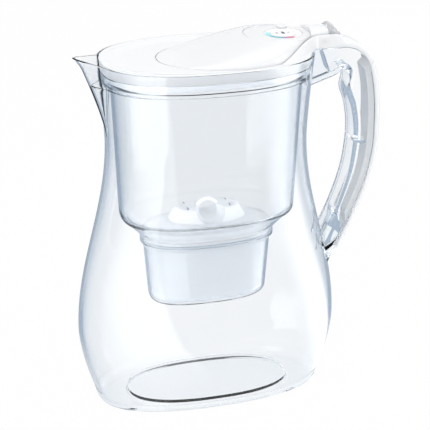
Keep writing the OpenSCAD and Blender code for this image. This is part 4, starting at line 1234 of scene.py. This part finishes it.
@dataclass
class Lid:
    """The white lid: dished plate with its skirt, saddle beside the flap's tail, and tail over the handle."""

    form: JugForm
    flap: FlapForm
    jug: Jug
    slide: float = 0.4
    seat: float = 0.3
    tank_wall: float = 1.8
    flange: Flat = (9.0, 2.2)
    skirt_t: float = 1.8
    cheek_t: float = 1.9
    dish: Flat = (24.0, 14.0)
    saddle_x: Flat = (44.0, 105.0)
    fill_end_x: float = 62.0
    rebate_w: float = 4.0
    bore_half: float = 11.4
    tail_from_u: float = 0.75

    @property
    def half(self) -> Flat:
        """Half length and half width of the lid at the rim."""
        f = self.form
        return f.rim[0] - f.rim_wall - self.slide, f.rim[1] - f.rim_wall - self.slide

    def plate(self) -> Solid:
        """Returns the dished plate with its skirt."""
        f, (a, b), (wide, deep) = self.form, self.half, self.dish
        low = self.flap.edge_z - self.flap.lid_t - 1.4
        skirt_in = self.slide + self.tank_wall + self.slide
        back = skirt_in + self.skirt_t
        top = f.ledge_z + self.flange[0] + self.seat
        foot = f.ledge_z + self.flange[1] + 2
        rings = [oval_ring(a - wide, b - deep, low)]
        rings += [f.mouth(z, d) for z, d in (
            (low, back + 0.8), (low - 0.8, back), (foot + 0.4, back + 0.3), (foot, back - 0.1),
            (foot, skirt_in + 0.8), (foot + 0.4, skirt_in + 0.4), (top, skirt_in), (top, self.slide + 0.2),
            (top + 0.2, self.slide), *((z, self.slide) for z in steps(top + 0.6, f.rim_z - 1.0, 5)))]
        rings += [oval_ring(a - d, b - d, z) for d, z in arc(1.0, f.rim_z - 0.8, 1.0, 180, 90, 6)]
        # dish, from the edge bead down to the flat around the flap
        for k in steps(0.06, 1, 30):
            bead = 0.35 * math.exp(-((k - 0.12) / 0.05) ** 2)
            z = mix(f.rim_z + 0.2, self.flap.edge_z, smooth(k / 0.75)) - bead
            rings.append(oval_ring(a - mix(1.0, wide, k), b - mix(1.0, deep, k), z))
        return Solid.loft("lid_shell", rings)

    def saddle_section(self, x: float) -> Ring:
        """Returns one section of the raised saddle at x."""
        fl, f = self.flap, self.form
        (a, b), wide = self.half, self.jug.half_wid + 0.05
        over_x = a - 4
        over = smooth((x - over_x + 3) / 3)
        room = fl.room_w(x, fl.gap)
        tw = mix(max(room + self.cheek_t, wide), wide, smooth((x - fl.hinge[0]) / 6))
        lid_w = b * max(0.0, 1 - (abs(min(x, over_x - 1)) / a) ** OVAL_POWER) ** (1 / OVAL_POWER)
        inside = min(tw + 12, max(wide, lid_w - 1))
        bw = max(tw, mix(inside, wide, smooth((x - over_x + 2) / 10)))
        low = mix(fl.edge_z - fl.lid_t - 0.9, f.rim_z + self.seat, over)
        skirt = max(low + 0.3, mix(fl.edge_z + 0.9, f.rim_z + self.seat + 0.6, over))
        strip = along(self.jug.back, 2)[1] + self.seat + self.jug.band_t - 0.3
        crest = max(skirt + 0.3, mix(fl.edge(x), strip, smooth((x - 95) / 10)))
        edge = min(room + 0.25, tw - 0.5) if x < fl.tail_x else tw - 1.6
        half: list[Flat] = [(edge * 0.5, crest - 0.5), (edge - 0.15, crest - 0.42), (edge + 0.1, crest - 0.2),
                            (edge + 0.45, crest - 0.04), (edge + 0.8, crest)]
        start, r = max(edge + 0.9, tw - 0.9), min(1.0, (crest - skirt) * 0.6)
        for k in steps(0, 1, 16):
            y = mix(start, bw + 0.1, k) + r * 0.25 * math.sin(math.pi * k)
            half.append((y, mix(crest, skirt, smooth(k ** 0.92))))
        half += [(bw + 0.08, mix(skirt, low, 0.5)), (bw, low)]
        return ([(x, 0.0, crest - 0.5)] + [(x, -y, z) for y, z in half]
                + [(x, y, z) for y, z in reversed(half)])

    def tail(self) -> Solid:
        """Returns the lid's tail over the top of the handle."""
        j, rings = self.jug, []
        for k in (*steps(0, 98.6, 90), 99.2, 99.7, 100.0):
            u = mix(self.tail_from_u, j.seam_u, k / 100)
            edge = 0.4 * max(0.0, (k - 98.6) / 1.4) ** 2
            rings.append(j.placed(j.back, u, j.strip(j.half_wid - 0.1 - edge, j.strip_t(j.seam_u) - edge)))
        return Solid.loft("lid_tail", rings)

    def room(self) -> Solid:
        """Returns the room that the flap takes out of the lid."""
        fl = self.flap
        top, end = fl.edge_z + 40, fl.tail_x + 1
        plan = Solid.prism("room", fl.plan(fl.gap, fl.stations()), fl.edge_z - 2 * fl.lid_t, top - 2)
        side = [(end, top), (fl.front_x - 2, top), (fl.front_x - 2, fl.low(0) - self.seat)]
        side += [(x, fl.low(x) - self.seat) for x in steps(35, 74, 40)]
        side += [(end, fl.low(fl.tail_x) - self.seat)]
        return plan.keep_common(Solid.prism("room_side", side, -60, 60, "y"))

    def openings(self) -> list[Solid]:
        """Returns what is cut out of the lid: the flap's room, the fill hole, the tab's slot and the bore."""
        fl, z = self.flap, self.flap.edge_z
        fill = fl.plan(-self.rebate_w, steps(fl.front_x + 1, self.fill_end_x, 90))
        x0, x1, w = fl.hinge[0] - 3, fl.tail_x + fl.tab_len + 1.2, fl.tail_half_wid + fl.gap
        slot = Solid.prism("slot", [(x0, -w), (x1, -w), (x1, w), (x0, w)], self.form.rim_z - 15, 320)
        return [self.room(), Solid.prism("fill", fill, z - 20, z + 20), slot, fl.bore(self.bore_half)]

    def build(self) -> None:
        """Builds the lid's shell, cuts its openings and dresses it."""
        saddle = Solid.loft("saddle", [self.saddle_section(x) for x in steps(*self.saddle_x, 150)])
        shell = self.plate().join(saddle, self.tail()).take_out(*self.openings())
        shell.finish(WHITE_GLOSS, Body.LID, "lid_frame")
        redress("hinge_pin", PIN_PLASTIC)


@dataclass
class Flap:
    """The humped flap with its closing plate and the thumb tab behind its hinge."""

    form: FlapForm
    hollow_end_x: float = 72.0
    liner_end_x: float = 70.0
    liner_t: float = 1.2
    bore_half: float = 9.6
    tab_round: float = 0.93
    window: Flat = (24.0, 23.0)
    meter_x: float = 53.0
    meter_z: float = 281.0
    bezel_t: float = 1.4
    dial: Flat = (57.5, -1.5)
    dial_well_r: float = 15.7
    button: Flat = (61.5, 14.5)
    button_well_r: float = 5.9

    @property
    def recess_z(self) -> float:
        """Floor of the recess that the meter's bezel lies in."""
        return self.meter_z - self.bezel_t

    def build(self) -> None:
        """Builds the flap's shell, its closing plate and its thumb tab."""
        f, (a, b), low = self.form, self.window, self.recess_z
        hollow = [f.section(x, f.lid_t, f.low(x) - 1) for x in f.stations()
                  if f.crest(x) - f.lid_t > f.low(x) + 0.6 and x < self.hollow_end_x]
        shell = Solid.loft("flap_shell", [f.section(x, 0, f.low(x)) for x in f.stations()])
        shell.take_out(Solid.loft("hollow", hollow))
        plug = Solid.prism("plug", self.oval(a + 1.5, b + 1.5), low - 2, low + 1)
        shell.join(f.block("seat", self.meter_x, a + 6, 0.02, 0.02).keep_common(plug))
        wells = [Solid.rod("well", r, -12.0, 0.5, (*at, low))
                 for at, r in ((self.dial, self.dial_well_r), (self.button, self.button_well_r))]
        shell.take_out(Solid.prism("recess", self.oval(a, b), low, low + 20), *wells, f.bore(self.bore_half))
        shell.finish(WHITE_GLOSS, Body.FLAP, "flip_lid")
        self.liner().finish(WHITE_SATIN, Body.FLAP, "flip_lid_liner")
        self.tab().finish(TAB_GREY, Body.FLAP, "thumb_tab", angle=50)

    def oval(self, a: float, b: float) -> list[Flat]:
        """Returns the window's oval with the half axes a and b."""
        return [(self.meter_x + x, y) for x, y, _ in oval_ring(a, b, 0.0)]

    def liner(self) -> Solid:
        """Returns the plate that closes the flap from below."""
        f, rings = self.form, []
        for x in f.stations():
            w, low = f.width(x) - f.lid_t - 0.3, f.low(x)
            high = low + self.liner_t
            if f.crest(x) - f.lid_t > high + 0.4 and x < self.liner_end_x:
                rings.append([(x, w - 0.3, low), (x, w, low + 0.3), (x, w, high), (x, -w, high),
                              (x, -w, low + 0.3), (x, 0.3 - w, low)])
        return Solid.loft("flap_liner", rings)

    def tab_ring(self, k: float, n: int = 48) -> Ring:
        """Returns the section of the thumb tab at the share k of its length, with n points."""
        f = self.form
        x = f.tail_x + f.tab_len * k
        crown = f.edge_z + f.hump_rise + 2 * math.sin(math.pi * min(1.0, k * 1.4)) - 4.6 * k ** 2.2
        low = f.hinge[1] + 1 + 1.4 * k
        hw, h = f.tail_half_wid * (1 - 0.28 * k ** 3), (crown - low) / 2
        turns = [2 * math.pi * (i + 0.5) / n for i in range(n)]
        return [(x, hw * bent(math.cos(t), 0.5), low + h + h * bent(math.sin(t), 0.6)) for t in turns]

    def tab(self) -> Solid:
        """Returns the thumb tab with a rounded end."""
        rings = [self.tab_ring(k) for k in steps(0, self.tab_round, 30)]
        heights = [z for _, _, z in rings[-1]]
        cz = (max(heights) + min(heights)) / 2
        for k in steps(0.08, 0.92, 7):
            s = math.sqrt(1 - k * k)
            grown = self.tab_ring(self.tab_round + 0.07 * k)
            rings.append([(x, y * mix(1, s, 0.4), cz + (z - cz) * mix(1, s, 0.6)) for x, y, z in grown])
        return Solid.loft("tab_grip", rings)


@dataclass
class Meter:
    """The filter meter in the flap: bezel, printed dial with marks, lens and button."""

    flap: Flap
    dial_r: float = 14.0
    core_step: float = 2.7
    button_r: float = 3.9
    case_h: float = 3.8
    lens_t: float = 0.45
    lens_crown: float = 0.5
    print_h: float = 0.08
    tick: Flat = (1.0, 0.28)
    tick_r: float = 9.7
    tick_turn: Flat = (118.0, 330.0)
    # the marks' places from the dial's middle, each with its size
    marks: tuple[tuple[Flat, Flat], ...] = (
        ((0.0, 1.0), (2.4, 5.2)), ((-4.2, 0.2), (2.6, 0.5)), ((-4.2, 1.4), (2.2, 0.5)),
        ((-4.4, 2.6), (2.0, 0.5)), ((4.2, 0.2), (2.8, 0.5)), ((4.2, 1.4), (2.2, 0.5)),
        ((-8.6, 1.6), (0.9, 0.9)), ((8.4, 1.6), (0.9, 0.9)), ((0.0, -2.6), (1.2, 0.4)))

    @property
    def lens_z(self) -> float:
        """Underside of the thin lens, just over the printed face."""
        return self.flap.meter_z - self.lens_t

    @property
    def face_z(self) -> float:
        """Underside of the dial's rim."""
        return self.flap.recess_z - 0.9

    @property
    def face_h(self) -> float:
        """Height of the dial's rim."""
        return self.lens_z - 0.05 - self.face_z

    def build(self) -> None:
        """Builds the meter's visible pieces and dresses the CAD pieces inside it."""
        self.bezel().finish(WHITE_GLOSS, Body.FLAP, "meter_bezel")
        self.face().finish(METER_FACE, Body.FLAP, "meter_dial")
        self.build_print()
        self.lens().finish(CLEAR_LENS, Body.FLAP, "meter_window")
        self.knob().finish(WHITE_GLOSS, Body.BUTTON, "meter_button", angle=40)
        for node, finish in (("meter_case", METER_SHELL), ("meter_board", BOARD_GREEN),
                             ("meter_cell", CELL_STEEL), ("switch_dome", CELL_STEEL),
                             ("cell_clip", CLIP_BRASS)):
            redress(node, finish)

    def well(self, r: float, low: float, at: Flat) -> Solid:
        """Returns the cutter of a round hole at a place on the flap."""
        return Solid.rod("well", r, low, 4.0, (*at, self.flap.recess_z))

    def bezel(self) -> Solid:
        """Returns the oval bezel with its rounded edge and its two holes."""
        fl, (a, b), z = self.flap, self.flap.window, self.flap.meter_z
        ovals = [(a - 0.5, b - 0.5, fl.recess_z)]
        ovals += [(a - 0.35 - d, b - 0.35 - d, h) for d, h in arc(0.3, z - 0.3, 0.3, 180, 90, 5)]
        bezel = Solid.loft("meter_bezel_ring", [[(x, y, h) for x, y in fl.oval(p, q)] for p, q, h in ovals])
        bezel.keep_common(fl.form.block("trim", fl.meter_x, a + 8, 0.12))
        return bezel.take_out(self.well(self.dial_r, -2.0, fl.dial),
                              self.well(self.button_r + 0.25, -2.0, fl.button))

    def face(self) -> Solid:
        """Returns the dial that carries the print."""
        r, z, high = self.dial_r - 0.3, self.face_z, self.face_h
        core_z, core_r = self.flap.meter_z - self.case_h - z, r - self.core_step
        profile = [(ON_AXIS, core_z), (core_r, core_z), (core_r, 0.0), (r - 0.1, 0.0), (r, 0.1),
                   (r, high - 0.1), (r - 0.1, high), (ON_AXIS, high)]
        face = Solid.turned("meter_face", profile, (*self.flap.dial, z), "z", 120)
        return face.take_out(self.well(self.button_r + 0.9, -6.0, self.flap.button))

    def build_print(self) -> None:
        """Builds the dark ticks and marks on the dial."""
        (x, y), top = self.flap.dial, self.face_z + self.face_h
        angles = [math.radians(q) for q in steps(*self.tick_turn, 24)]
        ticks = [(x + self.tick_r * math.cos(q), y + self.tick_r * math.sin(q), top + 0.02) for q in angles]
        size = (*self.tick, self.print_h)
        dress(Repeater("meter_ticks", ticks, size, METER_INK, angles).build(), METER_INK, Body.FLAP)
        for i, ((dx, dy), size) in enumerate(self.marks):
            at = (x + dx, y + dy, top + 0.02)
            block = Repeater(f"meter_mark_{i}", [at], (*size, self.print_h), METER_INK)
            dress(block.build(), METER_INK, Body.FLAP)

    def lens(self) -> Solid:
        """Returns the clear crowned lens over the dial."""
        r, t = self.dial_r - 0.15, self.flap.meter_z - self.lens_z
        profile = [(ON_AXIS, 0.0), (r - 0.1, 0.0), (r, 0.1)]
        profile += [(r * k, t + self.lens_crown * (1 - k * k)) for k in steps(1, 0.004, 24)]
        lens = Solid.turned("meter_glass", profile, (*self.flap.dial, self.lens_z), "z", 120)
        return lens.take_out(self.well(self.button_r + 0.9, -3.0, self.flap.button))

    def knob(self) -> Solid:
        """Returns the white button with a dished top."""
        r, z = self.button_r, self.flap.meter_z
        low = z - self.case_h + 0.3 + 0.9
        top = z + 1.5 - low
        profile = [(ON_AXIS, 0.0), (r + 0.5, 0.0), (r + 0.6, 0.1), (r + 0.6, 0.6), (r + 0.5, 0.7), (r, 0.7)]
        profile += arc(r - 0.7, top - 0.7, 0.7, 0, 90, 7)
        profile += [(r * k, top - 0.35 * (1 - (k / 0.8) ** 2)) for k in steps(0.75, 0.004, 8)]
        return Solid.turned("button_cap", profile, (*self.flap.button, low), "z", 72)


# ---------------------------------------------------------------- studio


@dataclass
class Studio:
    """Plain pale floor, soft lamps, white surroundings and the camera at the photograph's angle."""

    azimuth: float = 15.9
    elevation: float = 22.9
    distance: float = 1057.2
    lens: float = 117.6
    target: Point = (6.77, 0.0, 143.4)
    aim_z: float = 150.0
    # name, place, width, height and watts of each lamp
    lamps: tuple[tuple[str, Point, float, float, float], ...] = (
        ("key", (-620, -900, 820), 520, 900, 5.4), ("fill", (900, -620, 420), 700, 700, 2.8),
        ("back", (900, 700, 500), 700, 700, 2.8), ("top", (0, 60, 1150), 1200, 900, 3.7))
    floor_half: float = 12000.0
    floor_grey: Colour = (0.86, 0.86, 0.86)
    floor_glow: float = 0.985
    world_soft: float = 0.62
    # light that reaches a solid surface through two clear walls counts 1 + inner_gain times
    inner_gain: float = 1.5
    box_gain: float = 3.8
    # degrees a metre by which the mirrored ground turns with the distance, up to twist_end metres
    twist: float = 30.0
    twist_end: float = 0.6
    # under the pitcher the mirrored ground gives way to a plain grey: near_rate * radius + near_start
    near_rate: float = -9.0
    near_start: float = 1.6
    near_grey: Colour = (0.27, 0.27, 0.27)
    dark: Colour = (0.12, 0.128, 0.142)
    dusk: Colour = (0.12, 0.14, 0.165)

    def build(self) -> None:
        """Builds the camera, the floor, the world and the lamps."""
        self.camera()
        self.floor()
        self.world()
        for name, at, width, height, watts in self.lamps:
            data = bpy.data.lights.new(name, "AREA")
            data.shape, data.size, data.size_y, data.energy = "RECTANGLE", width * MM, height * MM, watts
            obj = stand(name, data)
            obj.location = Vector(at) * MM
            aim = Vector((0, 0, self.aim_z * MM)) - obj.location
            obj.rotation_euler = aim.to_track_quat("-Z", "Y").to_euler()

    def camera(self) -> None:
        """Adds the camera."""
        az, el = math.radians(self.azimuth), math.radians(self.elevation)
        away = Vector((-math.sin(az) * math.cos(el), -math.cos(az) * math.cos(el), math.sin(el)))
        data = bpy.data.cameras.new("camera")
        data.lens, data.sensor_width, data.clip_end = self.lens, 36.0, 100.0
        cam = stand("camera", data)
        cam.location = Vector(place(self.target)) + away * self.distance * MM
        cam.rotation_euler = (-away).to_track_quat("-Z", "Y").to_euler()
        bpy.context.scene.camera = cam

    @staticmethod
    def seen(n: Nodes) -> Socket:
        """Returns 1 for camera, glossy and transmission rays and 0 for the rest."""
        path = n.new("LightPath").outputs
        direct = n.maths("MAXIMUM", path["Is Camera Ray"], path["Is Glossy Ray"])
        return n.maths("MAXIMUM", direct, path["Is Transmission Ray"])

    def strength(self, n: Nodes) -> Socket:
        """Returns 1, and more for light that reaches a solid surface through two clear walls."""
        path = n.new("LightPath").outputs
        # after a diffuse bounce and six or more clear surfaces; in and out through one wall are only four
        inner = n.maths("MULTIPLY", n.maths("GREATER_THAN", path["Diffuse Depth"], 0.5),
                        n.maths("GREATER_THAN", path["Transmission Depth"], 5.5))
        return n.maths("MULTIPLY_ADD", inner, self.inner_gain, 1.0)

    def boxes(self, n: Nodes) -> Socket:
        """Returns what glossy walls mirror off the floor: two soft boxes with darker ground between them.

        Args:
            n: The floor's node tree.

        Returns:
            A colour by the direction around the pitcher, from behind it past its handle to its front.
        """
        x, y = (n.maths("MULTIPLY", axis, -1.0) for axis in n.axes()[:2])
        radius = n.length(x, y)
        share = n.maths("MULTIPLY_ADD", n.maths("ARCTAN2", x, y), 0.5 / math.pi, 0.5)
        turned = n.maths("MULTIPLY_ADD", n.maths("MINIMUM", radius, self.twist_end), -self.twist / 360, share)
        dark, dusk = self.dark, self.dusk
        # angles in degrees, each with the colour of the ground there
        stops = [(-179, dusk), (-108, dusk), (-96, WHITE), (-72, WHITE), (-56, dark), (9.4, dark),
                 (10.6, WHITE), (42, WHITE), (72, dusk), (179, dusk)]
        ground = n.ramp(turned, [(0.5 + angle / 360, colour) for angle, colour in stops])
        near = n.maths("MAXIMUM", n.maths("MULTIPLY_ADD", radius, self.near_rate, self.near_start), 0.0)
        return n.blend(n.maths("MINIMUM", near, 1.0), ground, self.near_grey)

    def floor(self) -> None:
        """Adds the floor: white where it is seen, with the pitcher's soft shadow."""
        mesh = bpy.data.meshes.new("floor")
        s = self.floor_half * MM
        mesh.from_pydata([(-s, -s, 0), (s, -s, 0), (s, s, 0), (-s, s, 0)], [], [(0, 1, 2, 3)])
        mesh.materials.append(bpy.data.materials.new("pale_floor"))
        n = Nodes(mesh.materials[0])
        mirrored = n.maths("GREATER_THAN", n.new("LightPath").outputs["Glossy Depth"], 0.5)
        gain = n.maths("MULTIPLY_ADD", mirrored, self.box_gain - 1, 1.0)
        light = n.blend(mirrored, WHITE, self.boxes(n))
        glow = n.new("Emission", light, n.maths("MULTIPLY", self.strength(n), gain))
        dull = n.new("BsdfDiffuse", self.floor_grey)
        share = n.maths("MULTIPLY", self.seen(n), self.floor_glow)
        both = n.new("MixShader", share, dull.outputs[0], glow.outputs[0])
        n.fill(n.out, Surface=both.outputs[0])
        stand("floor", mesh)

    def world(self) -> None:
        """Fills the world: white where it is seen, softer as a light."""
        world = bpy.data.worlds.new("studio")
        n = Nodes(world, "World")
        soft = n.new("Background", Strength=self.world_soft)
        bright = n.new("Background", WHITE, self.strength(n))
        both = n.new("MixShader", self.seen(n), soft.outputs[0], bright.outputs[0])
        n.fill(n.out, Surface=both.outputs[0])
        bpy.context.scene.world = world


def main() -> None:
    """Builds the pitcher's pieces in order."""
    logging.basicConfig(level=logging.INFO, format="%(name)s: %(message)s")
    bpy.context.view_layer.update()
    bpy.context.scene.view_settings.view_transform = "Standard"
    Studio().build()
    jug_form, flap_form = JugForm(), FlapForm()
    jug, tank, flap = Jug(jug_form), Reservoir(jug_form), Flap(flap_form)
    jug.build()
    tank.build()
    Cartridge(tank).build()
    for node, finish in (("cartridge_seal", SEAL_GREY), ("filter_bed", FILTER_GRANULES),
                         ("upper_screen", SCREEN_PLASTIC), ("lower_screen", SCREEN_PLASTIC)):
        redress(node, finish)
    Lid(jug_form, flap_form, jug).build()
    flap.build()
    Meter(flap).build()


if __name__ == "__main__":
    main()
